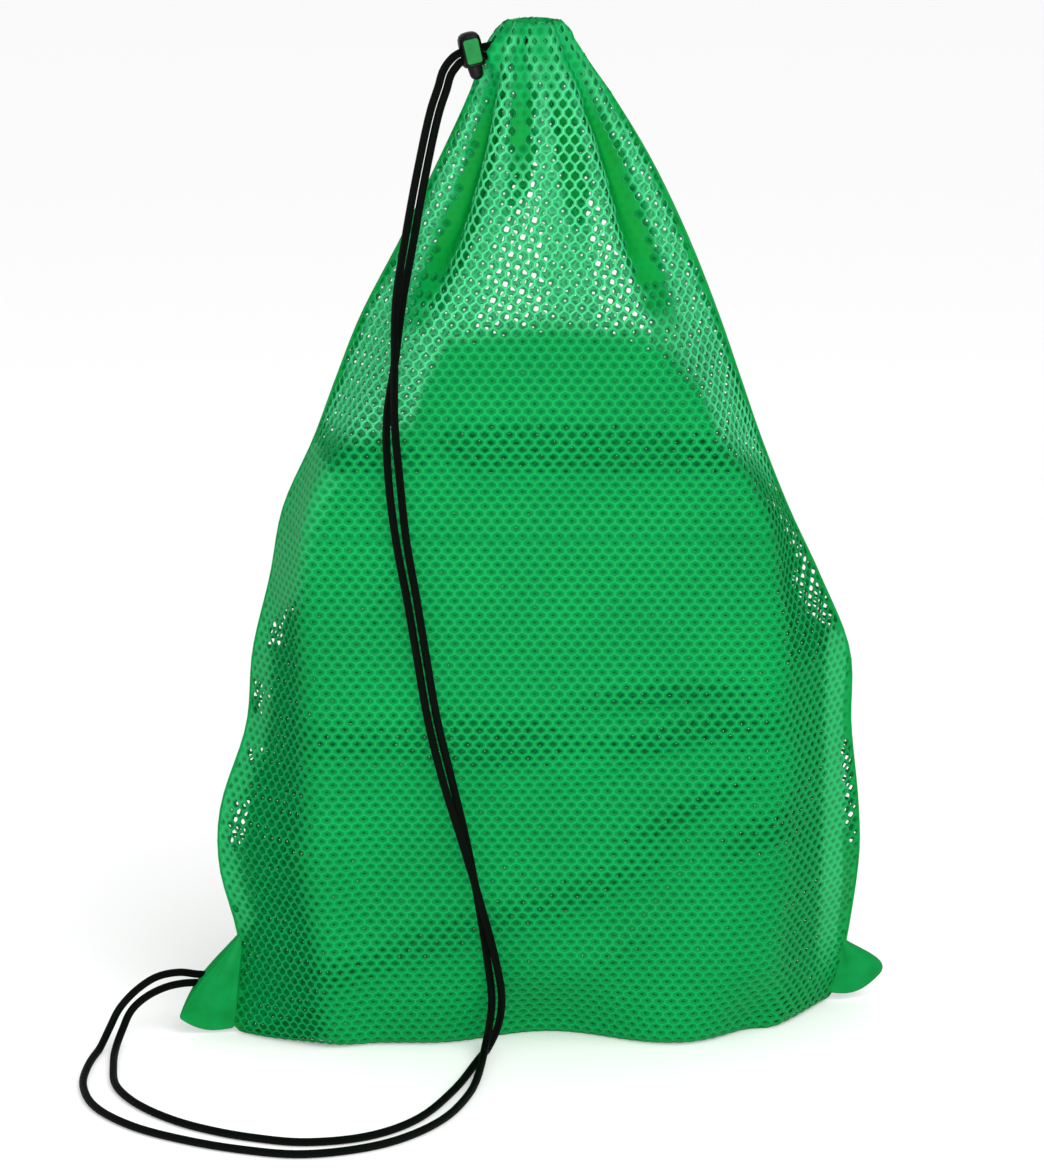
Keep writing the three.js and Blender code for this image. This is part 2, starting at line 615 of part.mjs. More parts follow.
// A plate on the barrel's front or back, between two distances from its middle.
function inlayPlate(facing, from, to, grow) {
  const plate = new THREE.ExtrudeGeometry(inlayShape(grow), {
    depth: to - from,
    bevelEnabled: false,
    curveSegments: 3,
  });
  plate.translate(0, 0, from).rotateX(Math.PI / 2);
  return facing < 0 ? plate : plate.rotateZ(Math.PI);
}

const inlayOuter = BARREL.depth / 2 + INLAY.proud;
const inlayInner = inlayOuter - INLAY.thick;

function barrel() {
  const levels = [
    { z: BARREL.bottom, share: 0.86 },
    { z: BARREL.bottom + 1.4, share: 1 },
    { z: BARREL.top - 6, share: 1 },
    { z: BARREL.top - 3.6, share: 0.955 },
    { z: BARREL.top - 1.6, share: 0.8 },
    { z: BARREL.top - 0.5, share: 0.58 },
    { z: BARREL.top, share: 0.3 },
  ];
  const body = loftGeometry(levels.map(({ z, share }) => ({ z, outline: barrelOutline(share) })));
  const boreLength = BARREL.roof - BARREL.bottom + 2;
  const bore = new THREE.CylinderGeometry(BARREL.bore / 2, BARREL.bore / 2, boreLength, ROUND_SIDES);
  bore.rotateX(Math.PI / 2).translate(0, 0, BARREL.roof - boreLength / 2);
  const pocket = (facing) => inlayPlate(facing, inlayInner - GAP, inlayOuter + 2, GAP);
  return cut(body, bore, slotTool(SLOT.middle - SLOT.half, SLOT.middle + SLOT.half), pocket(-1), pocket(1));
}

function plunger() {
  const r = PLUNGER.diameter / 2;
  const { top, bottom, tip, tapers, round } = PLUNGER;
  const profile = new THREE.Path().moveTo(0, bottom);
  profile.lineTo(tip / 2 - round, bottom);
  profile.absarc(tip / 2 - round, bottom + round, round, -Math.PI / 2, 0);
  profile.lineTo(r, tapers);
  profile.lineTo(r, top);
  profile.lineTo(0, top);
  const rod = new THREE.LatheGeometry(profile.getPoints(3), ROUND_SIDES).rotateX(Math.PI / 2);
  return cut(rod, slotTool(SLOT.middle - SLOT.half - PLUNGER.travel, SLOT.middle + SLOT.half));
}

// The assembly
const bag = new THREE.Group();

function add(parent, name, geometry, material) {
  const mesh = new THREE.Mesh(geometry, material);
  mesh.name = name;
  parent.add(mesh);
}

add(bag, "front_panel", panel("front", FRONT_HEIGHTS), meshGreen);
add(bag, "back_panel", panel("back", BACK_HEIGHTS), meshGreen);
add(bag, "casing", casing(), meshGreen);
for (const corner of CORNERS) add(bag, corner.name, cornerGeometry(corner), meshGreen);
add(bag, "cord_in_casing", tubeGeometry(casingLoopPoints(), CORD), cordBlack);
add(bag, "cord_strand_a", tubeGeometry(strandPoints("a"), CORD), cordBlack);
add(bag, "cord_strand_b", tubeGeometry(strandPoints("b"), CORD), cordBlack);

const lock = new THREE.Group();
lock.applyMatrix4(lockPlace);
add(lock, "lock_barrel", barrel(), lockBlack);
add(lock, "lock_inlay_front", inlayPlate(-1, inlayInner, inlayOuter, 0), lockGreen);
add(lock, "lock_inlay_back", inlayPlate(1, inlayInner, inlayOuter, 0), lockGreen);
add(lock, "lock_plunger", plunger(), lockBlack);
bag.add(lock);
bag.position.set(-MIDDLE.x, -MIDDLE.y, 0);

export default new THREE.Group().add(bag);
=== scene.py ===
"""Looks of a mesh drawstring bag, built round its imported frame: net cloth, cord, cord lock and light."""
import math

import bmesh
import bpy
import numpy as np
from mathutils import Matrix, Vector


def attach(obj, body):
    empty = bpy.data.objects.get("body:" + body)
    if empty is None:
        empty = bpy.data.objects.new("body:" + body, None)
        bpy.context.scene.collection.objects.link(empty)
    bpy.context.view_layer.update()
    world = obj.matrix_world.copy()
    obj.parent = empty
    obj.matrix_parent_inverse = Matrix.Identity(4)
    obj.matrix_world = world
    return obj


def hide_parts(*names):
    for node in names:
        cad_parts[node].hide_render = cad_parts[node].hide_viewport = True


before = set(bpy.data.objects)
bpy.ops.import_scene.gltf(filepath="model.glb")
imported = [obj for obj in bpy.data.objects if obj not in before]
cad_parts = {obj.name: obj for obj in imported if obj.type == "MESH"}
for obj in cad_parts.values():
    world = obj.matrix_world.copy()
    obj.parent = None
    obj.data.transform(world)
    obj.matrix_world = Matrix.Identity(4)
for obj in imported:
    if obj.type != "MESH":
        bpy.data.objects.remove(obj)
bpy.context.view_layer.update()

MM = 0.001
# The tables are in millimetres from the middle of the mouth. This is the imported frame's origin there.
ORIGIN = np.array((4.74, -0.34, 0.0))


def placed(points):
    """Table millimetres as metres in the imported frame."""
    return (np.asarray(points, float) - ORIGIN) * MM


def smoothstep(value, low, high):
    t = np.clip((value - low) / (high - low), 0, 1)
    return t * t * (3 - 2 * t)


def bump_of(off):
    """A raised cosine: 1 at 0, and 0 from 1 on."""
    return (1 + np.cos(np.pi * np.clip(np.abs(off), 0, 1))) / 2


def linked(name, data):
    """A new object with this data, in the scene."""
    thing = bpy.data.objects.new(name, data)
    bpy.context.scene.collection.objects.link(thing)
    return thing


# Camera, in the photograph's frame of 1044 by 1176 pixels
PHOTO_HEIGHT = 1176
FOCAL_PIXELS = 4062.5
CAMERA_DISTANCE = 2.6
CAMERA_ELEVATION = math.radians(16)
CAMERA_TARGET = (-5.8, 0, 291.5)
CAMERA_BACK = Vector((0, -math.cos(CAMERA_ELEVATION), math.sin(CAMERA_ELEVATION)))
CAMERA_PLACE = Vector(placed(CAMERA_TARGET)) + CAMERA_BACK * CAMERA_DISTANCE


def make_camera():
    data = bpy.data.cameras.new("camera")
    data.sensor_width = 36
    data.lens = data.sensor_width * FOCAL_PIXELS / PHOTO_HEIGHT
    data.clip_end = 50
    camera = linked("camera", data)
    camera.location = CAMERA_PLACE
    camera.rotation_euler = (-CAMERA_BACK).to_track_quat("-Z", "Y").to_euler()
    bpy.context.scene.camera = camera


# Materials
def linear(hex_colour):
    """An sRGB hex colour as linear RGBA."""
    parts = [int(hex_colour[i:i + 2], 16) / 255 for i in (1, 3, 5)]
    return tuple(c / 12.92 if c <= 0.04045 else ((c + 0.055) / 1.055) ** 2.4 for c in parts) + (1.0,)


def add_node(tree, kind, inputs=None, **settings):
    """Adds a node: settings are its own properties, inputs are values or the sockets that feed it."""
    node = tree.nodes.new(kind)
    for name, value in settings.items():
        setattr(node, name, value)
    for name, value in (inputs or {}).items():
        if isinstance(value, bpy.types.NodeSocket):
            tree.links.new(value, node.inputs[name])
        else:
            node.inputs[name].default_value = value
    return node


def new_material(name):
    """An empty material and its node tree."""
    material = bpy.data.materials.new(name)
    material.use_nodes = True
    tree = material.node_tree
    tree.nodes.clear()
    return material, tree


def two_shades(tree, vector, size_mm, dark, light):
    """Soft patches of two shades of one colour, size_mm across."""
    patches = add_node(tree, "ShaderNodeTexNoise", {"Vector": vector, "Scale": 1000 / size_mm, "Detail": 3.0})
    shades = add_node(tree, "ShaderNodeValToRGB", {"Fac": patches.outputs["Fac"]})
    for element, position, colour in zip(shades.color_ramp.elements, (0.32, 0.7), (dark, light)):
        element.position = position
        element.color = linear(colour)
    return shades.outputs["Color"]


def knitted_polyester_net():
    """Warp-knitted polyester net of satin yarns in a clear green, with light painted on the crests of its
    strands and shade painted at the rims of its holes.
    """
    material, tree = new_material("knitted_polyester_net")
    place = add_node(tree, "ShaderNodeTexCoord")
    # Painted light and shade: drawn single net lets more light through than net that lies flat and bunched
    # layers let none, so drawn net and doubled cloth are painted paler and bunched layers painted darker.
    lie = add_node(tree, "ShaderNodeAttribute", attribute_name="layers")
    light_and_shade_ramp = add_node(tree, "ShaderNodeValToRGB", {"Fac": lie.outputs["Fac"]})
    light_and_shade_ramp.color_ramp.elements[0].color = linear("#39a86c")
    light_and_shade_ramp.color_ramp.elements[1].color = linear("#016a24")
    light_and_shade_ramp.color_ramp.elements.new(0.5).color = linear("#027a3b")
    patches = add_node(tree, "ShaderNodeTexNoise", {"Vector": place.outputs["Object"], "Scale": 1000 / 60})
    # The yarns stand full along the middle of a strand and lie thin at the rims of its holes; light is
    # painted along the middle of a strand and shade at the rims of its holes.
    crest_light_and_shade = add_node(tree, "ShaderNodeAttribute", attribute_name="crest")
    full = add_node(tree, "ShaderNodeMapRange", {
        "Value": crest_light_and_shade.outputs["Fac"], "From Min": 0.6, "From Max": 1.0, "To Min": 0.86, "To Max": 1.34,
    }, interpolation_type="SMOOTHSTEP")
    depth = add_node(tree, "ShaderNodeMapRange", {
        "Value": patches.outputs["Fac"], "From Min": 0.3, "From Max": 0.7, "To Min": 0.92, "To Max": 1.06,
    })
    both = add_node(tree, "ShaderNodeMath", {
        0: full.outputs["Result"], 1: depth.outputs["Result"],
    }, operation="MULTIPLY")
    colour = add_node(tree, "ShaderNodeVectorMath", {
        0: light_and_shade_ramp.outputs["Color"], "Scale": both.outputs["Value"],
    }, operation="SCALE")
    # Yarn loops are about 0.4 mm; they are drawn at 0.9 mm, the finest that shows.
    loops = add_node(tree, "ShaderNodeTexWave", {
        "Vector": place.outputs["UV"], "Scale": 1 / 0.9, "Distortion": 3.0, "Detail": 1.0,
    }, bands_direction="DIAGONAL")
    relief = add_node(tree, "ShaderNodeBump", {
        "Height": loops.outputs["Fac"], "Strength": 0.25, "Distance": 0.3 * MM,
    })
    shader = add_node(tree, "ShaderNodeBsdfPrincipled", {
        "Base Color": colour.outputs["Vector"], "Roughness": 0.5, "Specular IOR Level": 0.05,
        "Normal": relief.outputs["Normal"],
    })
    add_node(tree, "ShaderNodeOutputMaterial", {"Surface": shader.outputs["BSDF"]})
    return material


def sewn_net_layers():
    """Layers of the same net sewn or bunched together: no holes, a fine pebbled weave and a soft sheen."""
    material, tree = new_material("sewn_net_layers")
    place = add_node(tree, "ShaderNodeTexCoord")
    colour = two_shades(tree, place.outputs["Object"], 18, "#046e2e", "#067d3c")
    pebbles = add_node(tree, "ShaderNodeTexVoronoi", {"Vector": place.outputs["Object"], "Scale": 1000 / 2.2})
    yarns = add_node(tree, "ShaderNodeTexNoise", {"Vector": place.outputs["Object"], "Scale": 1000 / 0.8})
    coarse = add_node(tree, "ShaderNodeBump", {
        "Height": pebbles.outputs["Distance"], "Strength": 0.3, "Distance": 0.4 * MM,
    }, invert=True)
    fine = add_node(tree, "ShaderNodeBump", {
        "Height": yarns.outputs["Fac"], "Strength": 0.2, "Distance": 0.2 * MM,
        "Normal": coarse.outputs["Normal"],
    })
    shader = add_node(tree, "ShaderNodeBsdfPrincipled", {
        "Base Color": colour, "Roughness": 0.5, "Specular IOR Level": 0.05, "Normal": fine.outputs["Normal"],
    })
    add_node(tree, "ShaderNodeOutputMaterial", {"Surface": shader.outputs["BSDF"]})
    return material


def braided_polyester_cord(name, length_mm):
    """Sixteen-carrier braid, dyed black: small slanted plaits, with light painted on their backs and shade
    painted between them.
    """
    material, tree = new_material(name)
    place = add_node(tree, "ShaderNodeTexCoord")
    # Eight plaits round the cord and one every 2.4 mm along it, leaning both ways.
    heights = []
    for lean in (1, -1):
        turned = add_node(tree, "ShaderNodeMapping", {
            "Vector": place.outputs["UV"], "Scale": (lean * 4.0, length_mm / 4.8, 1.0),
        })
        plaits = add_node(tree, "ShaderNodeTexWave", {
            "Vector": turned.outputs["Vector"], "Scale": 0.31831,
        }, bands_direction="DIAGONAL")
        heights.append(plaits.outputs["Fac"])
    braid = add_node(tree, "ShaderNodeMath", {0: heights[0], 1: heights[1]}, operation="MAXIMUM")
    # Painted light and shade: the backs of the plaits are painted a little lighter and the grooves between
    # them darker
    plait_light_and_shade = add_node(tree, "ShaderNodeValToRGB", {"Fac": braid.outputs["Value"]})
    plait_light_and_shade.color_ramp.elements[0].color = linear("#000100")
    plait_light_and_shade.color_ramp.elements[1].color = linear("#020603")
    relief = add_node(tree, "ShaderNodeBump", {
        "Height": braid.outputs["Value"], "Strength": 0.5, "Distance": 0.5 * MM,
    })
    shader = add_node(tree, "ShaderNodeBsdfPrincipled", {
        "Base Color": plait_light_and_shade.outputs["Color"], "Roughness": 0.6, "Specular IOR Level": 0.05,
        "Normal": relief.outputs["Normal"],
    })
    add_node(tree, "ShaderNodeOutputMaterial", {"Surface": shader.outputs["BSDF"]})
    return material


def moulded_plastic(name, dark, light, roughness):
    """Injection-moulded acetal from a fine spark-eroded mould: an even satin with a barely visible grain."""
    material, tree = new_material(name)
    place = add_node(tree, "ShaderNodeTexCoord")
    colour = two_shades(tree, place.outputs["Object"], 5, dark, light)
    grain = add_node(tree, "ShaderNodeTexNoise", {"Vector": place.outputs["Object"], "Scale": 1000 / 0.35})
    relief = add_node(tree, "ShaderNodeBump", {
        "Height": grain.outputs["Fac"], "Strength": 0.15, "Distance": 0.05 * MM,
    })
    shader = add_node(tree, "ShaderNodeBsdfPrincipled", {
        "Base Color": colour, "Roughness": roughness, "Specular IOR Level": 0.14,
        "Normal": relief.outputs["Normal"],
    })
    add_node(tree, "ShaderNodeOutputMaterial", {"Surface": shader.outputs["BSDF"]})
    return material


# Pieces
def new_piece(name, data, material, body, replaced=()):
    """A piece on one of the frame's bodies, which stands for some of its nodes."""
    piece = linked(name, data)
    data.materials.append(material)
    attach(piece, body)
    if replaced:
        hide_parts(*replaced)
    return piece


def mesh_from(bm, name):
    """The bmesh as a mesh with smooth faces."""
    mesh = bpy.data.meshes.new(name)
    bm.to_mesh(mesh)
    bm.free()
    mesh.polygons.foreach_set("use_smooth", [True] * len(mesh.polygons))
    return mesh


def thicken(sheet, thick, offset, name="", weights=(), least=0):
    """Gives a sheet its thickness. Weights in a named group share it out, down to the least share."""
    wall = sheet.modifiers.new("cloth", "SOLIDIFY")
    wall.thickness = thick * MM
    wall.offset = offset
    if name:
        group = sheet.vertex_groups.new(name=name)
        for index, weight in enumerate(weights):
            group.add([index], weight, "REPLACE")
        wall.vertex_group = name
        wall.thickness_vertex_group = least


def rope(name, line, radius, resolution):
    """A round rope of some millimetres along a line in metres, and the points of its spline."""
    curve = bpy.data.curves.new(name, "CURVE")
    curve.dimensions = "3D"
    curve.bevel_depth = radius * MM
    curve.bevel_resolution = resolution
    curve.use_fill_caps = True
    curve.twist_mode = "MINIMUM"
    spline = curve.splines.new("POLY")
    spline.points.add(len(line) - 1)
    for point, place in zip(spline.points, line):
        point.co = (*place, 1)
    spline.use_smooth = True
    return curve, spline.points


# Drawcord: the same route as its solids have, in table millimetres. The strands lie one on the other in the
# lock's slot.
CORD = 5.0
STRAND_SIDE = {"a": 1, "b": -1}
CORD_APART = CORD + 0.5
# The lock's ports on its slot: towards the casing, and towards the strands
PORT_ALONG = 11.0
FAR_PORT_ALONG = -7.6
LOCK_TILT = math.radians(-12.8)
LOCK_TURN = math.radians(10)
LOCK_PLACE = (Matrix.Translation((-36.8, -10, 636.8)) @ Matrix.Rotation(LOCK_TILT, 4, "Y")
              @ Matrix.Rotation(LOCK_TURN, 4, "Z"))
SLOT = {"width": CORD + 0.8, "half": CORD_APART / 2 + CORD / 2 + 0.35, "middle": -1.6}
CASING_LEAD = 6
CASING_LOOP = {"half_width": 15.2, "half_depth": 11, "x": 2, "z": 642, "drop": 4, "steps": 20,
               "first": 205, "sweep": 310}
CORD_STEPS = 6
FLOOR_GAP = 0.1
# Where the strands run together: x, y, z of the line between them, how far apart they lie, how far the
# pair has turned about that line, and how far what it lies on leans back from upright.
PAIR_ROUTE = [
    (-48, -11.6, 630, 5.5, 0, 0), (-52, -12, 624, 5.4, 0, 0), (-54.7, -12, 615, 5.4, 0, 0),
    (-59.6, -11, 600, 5.4, 0, 0), (-69, -10, 557, 5.4, 0, 0), (-76, -13, 519, 5.5, 10, 0),
    (-82, -24, 484, 5.8, 45, 10), (-84.5, -46, 450, 6.4, 90, 15), (-87, -57, 415, 6.6, 140, 5),
    (-85, -59, 377, 7, 178, 0), (-81, -60, 339, 6.4, 180, 0), (-74.5, -62, 301, 6, 180, 0),
    (-68.5, -64, 263, 5.8, 180, 0), (-62, -67, 224, 5.8, 185, 0), (-53, -68.5, 185, 6.4, 215, 0),
    (-42.5, -70, 145, 6.8, 250, 0), (-33, -73, 105, 6.8, 285, 0), (-25, -71, 63, 6.4, 330, 0),
    (-22, -62, 33, 6.4, 365, 10), (-24, -63, 17, 7.4, 405, 40), (-28.5, -71, 6.5, 7.4, 450, 90),
]
# The strands apart, over the floor and up into the left corner
STRAND_ROUTES = {
    "a": [
        (-37, -134, 2.7), (-55, -182, 2.7), (-82, -213, 2.7), (-110, -228, 2.7), (-142, -234, 2.7),
        (-176, -227, 2.7), (-211, -213, 2.7), (-245, -192, 2.7), (-271, -162, 2.7), (-282, -128, 2.7),
        (-282, -95, 2.7), (-277, -67, 3.5), (-272, -55, 12), (-266, -50, 23), (-255, -45, 34),
        (-242, -41, 41.5), (-228, -37, 43), (-216, -33.6, 40.4), (-197, -32, 38.8),
    ],
    "b": [
        (-48, -134, 2.7), (-69, -179, 2.7), (-90, -201, 2.7), (-112, -212, 2.7), (-141, -216, 2.7),
        (-168, -210, 2.7), (-193, -200, 2.7), (-219, -184, 2.7), (-245, -158, 2.7), (-261, -129, 2.7),
        (-266, -96, 2.7), (-267, -66, 3.5), (-264, -53, 10), (-259, -47, 20), (-250, -42, 27.5),
        (-238, -39, 33), (-227, -37, 35.2), (-215, -33.6, 34.6), (-197, -32, 33.1),
    ],
}


def in_lock(along, up):
    """A point of the lock's middle plane, in table millimetres."""
    return LOCK_PLACE @ Vector((along, 0, up))


def strand_points(name):
    """One strand, from the casing through the lock and on to the corner."""
    side_of_pair = STRAND_SIDE[name]
    up = SLOT["middle"] + side_of_pair * CORD_APART / 2
    apart_from = (Vector(STRAND_ROUTES["a"][0]) + Vector(STRAND_ROUTES["b"][0])) / 2
    line = [in_lock(FAR_PORT_ALONG, SLOT["middle"])] + [Vector(row[:3]) for row in PAIR_ROUTE] + [apart_from]
    points = [in_lock(PORT_ALONG, up), in_lock(FAR_PORT_ALONG, up)]
    for i, (_, _, _, apart, turn, lean) in enumerate(PAIR_ROUTE):
        along = (line[i + 2] - line[i]).normalized()
        leaning = math.radians(lean)
        turned = math.radians(turn)
        out = Vector((0, -math.cos(leaning), math.sin(leaning)))
        side = along.cross(out).normalized()
        off = side * math.cos(turned) + out * math.sin(turned)
        points.append(line[i + 1] + off * (side_of_pair * apart / 2))
    return points + [Vector(point) for point in STRAND_ROUTES[name]]


def casing_loop_points():
    """The cord's turn round the mouth, from one strand's end to the other's."""
    loop = CASING_LOOP
    high, low = (SLOT["middle"] + side * CORD_APART / 2 for side in (1, -1))
    points = [in_lock(PORT_ALONG, high), in_lock(PORT_ALONG + CASING_LEAD, high)]
    for i in range(loop["steps"] + 1):
        share = i / loop["steps"]
        angle = math.radians(loop["first"] + loop["sweep"] * share)
        x = loop["x"] + loop["half_width"] * math.cos(angle)
        z = loop["z"] + loop["drop"] / 2 - loop["drop"] * share
        points.append(Vector((x, loop["half_depth"] * math.sin(angle), z)))
    return points + [in_lock(PORT_ALONG + CASING_LEAD, low), in_lock(PORT_ALONG, low)]


def between(p, q, low, high, t):
    """The point at t on the line that is at p for low and at q for high."""
    return p * ((high - t) / (high - low)) + q * ((t - low) / (high - low))


def through(points, steps):
    """Points on a smooth curve through the given ones: centripetal Catmull-Rom, steps to each span."""
    given = [points[0] * 2 - points[1]] + list(points) + [points[-1] * 2 - points[-2]]
    found = []
    for p0, p1, p2, p3 in zip(given, given[1:], given[2:], given[3:]):
        t1 = math.sqrt((p1 - p0).length)
        t2 = t1 + math.sqrt((p2 - p1).length)
        t3 = t2 + math.sqrt((p3 - p2).length)
        for k in range(steps):
            t = t1 + (t2 - t1) * k / steps
            a1 = between(p0, p1, 0, t1, t)
            a2 = between(p1, p2, t1, t2, t)
            a3 = between(p2, p3, t2, t3, t)
            b1 = between(a1, a2, 0, t2, t)
            b2 = between(a2, a3, t1, t3, t)
            found.append(between(b1, b2, t1, t2, t))
    return found + [points[-1]]


def cord_piece(name, points, node):
    """A round cord along the points, its length in metres, and its line."""
    line = np.array(through(points, CORD_STEPS))
    line[:, 2] = np.maximum(line[:, 2], CORD / 2 + FLOOR_GAP)
    line = placed(line)
    length = float(lengths_along(line)[-1])
    curve, _ = rope(name, line, CORD / 2, resolution=5)
    material = braided_polyester_cord("braided_polyester_" + name, length / MM)
    return new_piece(name, curve, material, "bag", [node]), length, line


def make_cords():
    for name in STRAND_SIDE:
        node = "cord_strand_" + name
        strand, length, line = cord_piece("drawcord_strand_" + name, strand_points(name), node)
    cord_piece("drawcord_round_mouth", casing_loop_points(), "cord_in_casing")


# Form of the cloth, as its solids have it, in table millimetres
PANEL_TOP = 629.7
BASE_BEND = 10.0
BACK_FLAT_SHARE = 0.72
CORNER_TUCK = 16.0
SEAM_GAP = 0.15
SECTION_COLUMNS = ("z", "left", "right", "edge_left", "edge_right", "front", "back", "soft")
SECTIONS = np.array([
    (0, -196, 197, -122, 150, 57, 55, 16),
    (22, -192, 204, -126, 154, 61, 62, 15),
    (62, -189, 210, -131, 156, 63, 67, 14),
    (110, -201, 214, -136, 158, 63, 70, 13),
    (147, -200, 212, -138, 158, 63, 70, 13),
    (200, -183, 206, -140, 158, 62, 68, 13),
    (250, -178, 204, -142, 156, 60, 65, 13),
    (300, -166, 184, -143, 154, 57, 60, 12),
    (345, -157, 163, -141, 149, 54, 54, 12),
    (390, -137, 145, -122, 128, 50, 48, 14),
    (430, -122, 131, -96, 103, 46, 43, 18),
    (470, -106, 117, -66, 74, 41, 38, 24),
    (520, -80, 97, -46, 54, 34, 32, 20),
    (570, -56, 73, -32, 42, 27, 26, 16),
    (610, -38, 49, -22, 27, 22, 21, 13),
    (630, -31.5, 35, -16, 19, 19, 18, 11),
    (637, -30.5, 31, -14.5, 17, 18.5, 17.5, 10.5),
    (643, -26, 27, -13, 15, 18, 17, 10),
    (657, -19, 21, -10, 12, 16, 15, 9),
], float)
# Gathers below the mouth: share of the panel's width, half width as a share, depth, height where each opens
GATHERS = {
    "front": [(0.17, 0.11, 13, 462), (0.32, 0.07, 5, 580), (0.46, 0.07, 7, 570), (0.63, 0.08, 5, 560),
              (0.82, 0.11, 13, 470)],
    "back": [(0.2, 0.12, 11, 470), (0.4, 0.1, 6, 550), (0.62, 0.1, 7, 540), (0.82, 0.12, 11, 480)],
}
GATHER_OPENS = 70.0
# Heights between which the casing takes hold of the gathers, and the share of their depth left there
GATHER_HELD = (560, 640)
GATHER_AT_CASING = 0.2
# Bands where the gathered cloth lies bunched: share of the width, half width as a share, height of the foot,
# height from which the band is full
BUNCHED = {
    "front": [(0.17, 0.11, 442, 540), (0.395, 0.06, 545, 615), (0.58, 0.05, 590, 655),
              (0.82, 0.11, 440, 540)],
    "back": [(0.2, 0.12, 440, 530), (0.4, 0.1, 510, 590), (0.62, 0.1, 500, 580), (0.82, 0.12, 450, 540)],
}
# A band's width at its foot as a share, its soft edge, and the share of its rise over which it closes
BUNCH = {"foot": 0.55, "edge": (0.38, 0.72), "closes": 0.8}
# Pulls across the front: height on the centre line, rise per millimetre, half width, height of the ridge
FRONT_PULLS = [(392, 0, 15, 3.2), (212, 0.03, 22, 2.2), (96, 0.34, 20, 2.6)]
# Sway of the feet of the side seams: reach across the bag, shift on the floor, height where it ends
SEAM_SWAYS = [(-95, -188, -34, 230), (115, 200, 22, 200)]
# Hollows at the foot of the front: place across, half width, depth, height where each ends
FOOT_DENTS = [(12, 80, 24, 66), (158, 62, 26, 60)]
# Finer folds of the front than the solids have: x, z, slope in degrees, half length, half width, height
FRONT_FOLDS = [
    (6, 404, 0, 130, 9, 2.6), (18, 359, -3, 110, 12, -2.6), (88, 240, 3, 95, 8, 3), (70, 224, 10, 80, 6, -2),
    (94, 212, 21, 65, 9, 2.4), (-30, 204, -3, 75, 20, 1.7), (60, 185, 24, 90, 9, -2.4),
    (100, 164, 27, 90, 10, 3), (82, 112, 36, 80, 11, -2.6), (57, 66, 38, 65, 9, 2.2),
    (-65, 401, -50, 55, 10, -2.2), (-95, 300, 70, 90, 10, 1.8), (-100, 120, 80, 90, 12, -1.8),
]
# Small pleats of the drawn top: height from which they start and where they are full, then deeper at the hem
FINE_PLEATS = {"count": 9, "height": 1.5, "rise": (515, 625), "at_hem": 3.2, "off_seam": 0.07,
               "hem": (PANEL_TOP - 18, PANEL_TOP + 10)}
# Wander of the pleats' spacing and of their depth: size, and waves in radians along the cloth
PLEAT_SPACING = [(0.35, 5), (0.1, 31)]
PLEAT_DEPTH = (0.28, 17)
# Waves down the sides: height, length, turns across the cloth, and heights over which they end
SIDE_WAVES = {"height": 1.3, "length": 83, "lean": 1.7, "end": (400, 480)}
# The cloth of a side keeps off the seams' plane by this, and faces the front from this share of its depth.
# The relief of the front fades towards the seams with a power of that share.
LEAST_DEPTH = 0.4
FACES_FRONT = (0.75, 1)
FOLDS_FADE = 4
# Shares of the straight parts beside a rounded edge that it may take up, down the side and on the flat
ROUNDS = {"side": 0.6, "flat": 0.45, "steps": 13}
# Bulge of the hem over the cords where they go in beside the lock: share of the front's width, and height
CORD_PORT = {"share": 0.14, "half_share": 0.125, "z": 638, "half_height": 20, "out": 9}


def column(name, z):
    """A column of SECTIONS at heights z, on a smooth curve through its rows."""
    heights = SECTIONS[:, 0]
    values = SECTIONS[:, SECTION_COLUMNS.index(name)]
    last = len(heights) - 1
    around = np.arange(last + 1)
    below = np.maximum(around - 1, 0)
    above = np.minimum(around + 1, last)
    slopes = (values[above] - values[below]) / (heights[above] - heights[below])
    k = np.clip(np.searchsorted(heights, z, side="right") - 1, 0, last - 1)
    h = heights[k + 1] - heights[k]
    t = np.clip((z - heights[k]) / h, 0, 1)
    return (values[k] * (2 * t**3 - 3 * t**2 + 1) + slopes[k] * h * (t**3 - 2 * t**2 + t)
            + values[k + 1] * (3 * t**2 - 2 * t**3) + slopes[k + 1] * h * (t**3 - t**2))


def lengths_along(points):
    """How far each point lies along its polyline."""
    steps = np.linalg.norm(np.diff(points, axis=0), axis=1)
    return np.concatenate(([0], np.cumsum(steps)))


def evenly(points, count, *others):
    """The polyline, and values along it, at count + 1 evenly spaced places."""
    along = lengths_along(points)
    at = np.linspace(0, along[-1], count + 1)
    return [np.stack([np.interp(at, along, points[:, c]) for c in range(points.shape[1])], 1)] + [
        np.interp(at, along, values) for values in others]


def section_path(side, z):
    """The section of one side at a height, from the left seam to the right: x, and depth off the seams."""
    flat = 1 if side == "front" else BACK_FLAT_SHARE
    deep = column(side, z)
    soft = column("soft", z) * (1 if side == "front" else 2)
    corners = np.array([
        (column("left", z), 0), (column("edge_left", z) * flat, deep),
        (column("edge_right", z) * flat, deep), (column("right", z), 0)])
    points = [corners[:1]]
    t = np.linspace(0, 1, ROUNDS["steps"])[:, None]
    for i in (1, 2):
        before = corners[i - 1] - corners[i]
        after = corners[i + 1] - corners[i]
        trim = min(soft, np.linalg.norm(before) * ROUNDS["side"], np.linalg.norm(after) * ROUNDS["flat"])
        start = corners[i] + before / np.linalg.norm(before) * trim
        end = corners[i] + after / np.linalg.norm(after) * trim
        points.append(start * (1 - t) ** 2 + corners[i] * 2 * t * (1 - t) + end * t**2)
    return np.concatenate(points + [corners[3:]]), deep


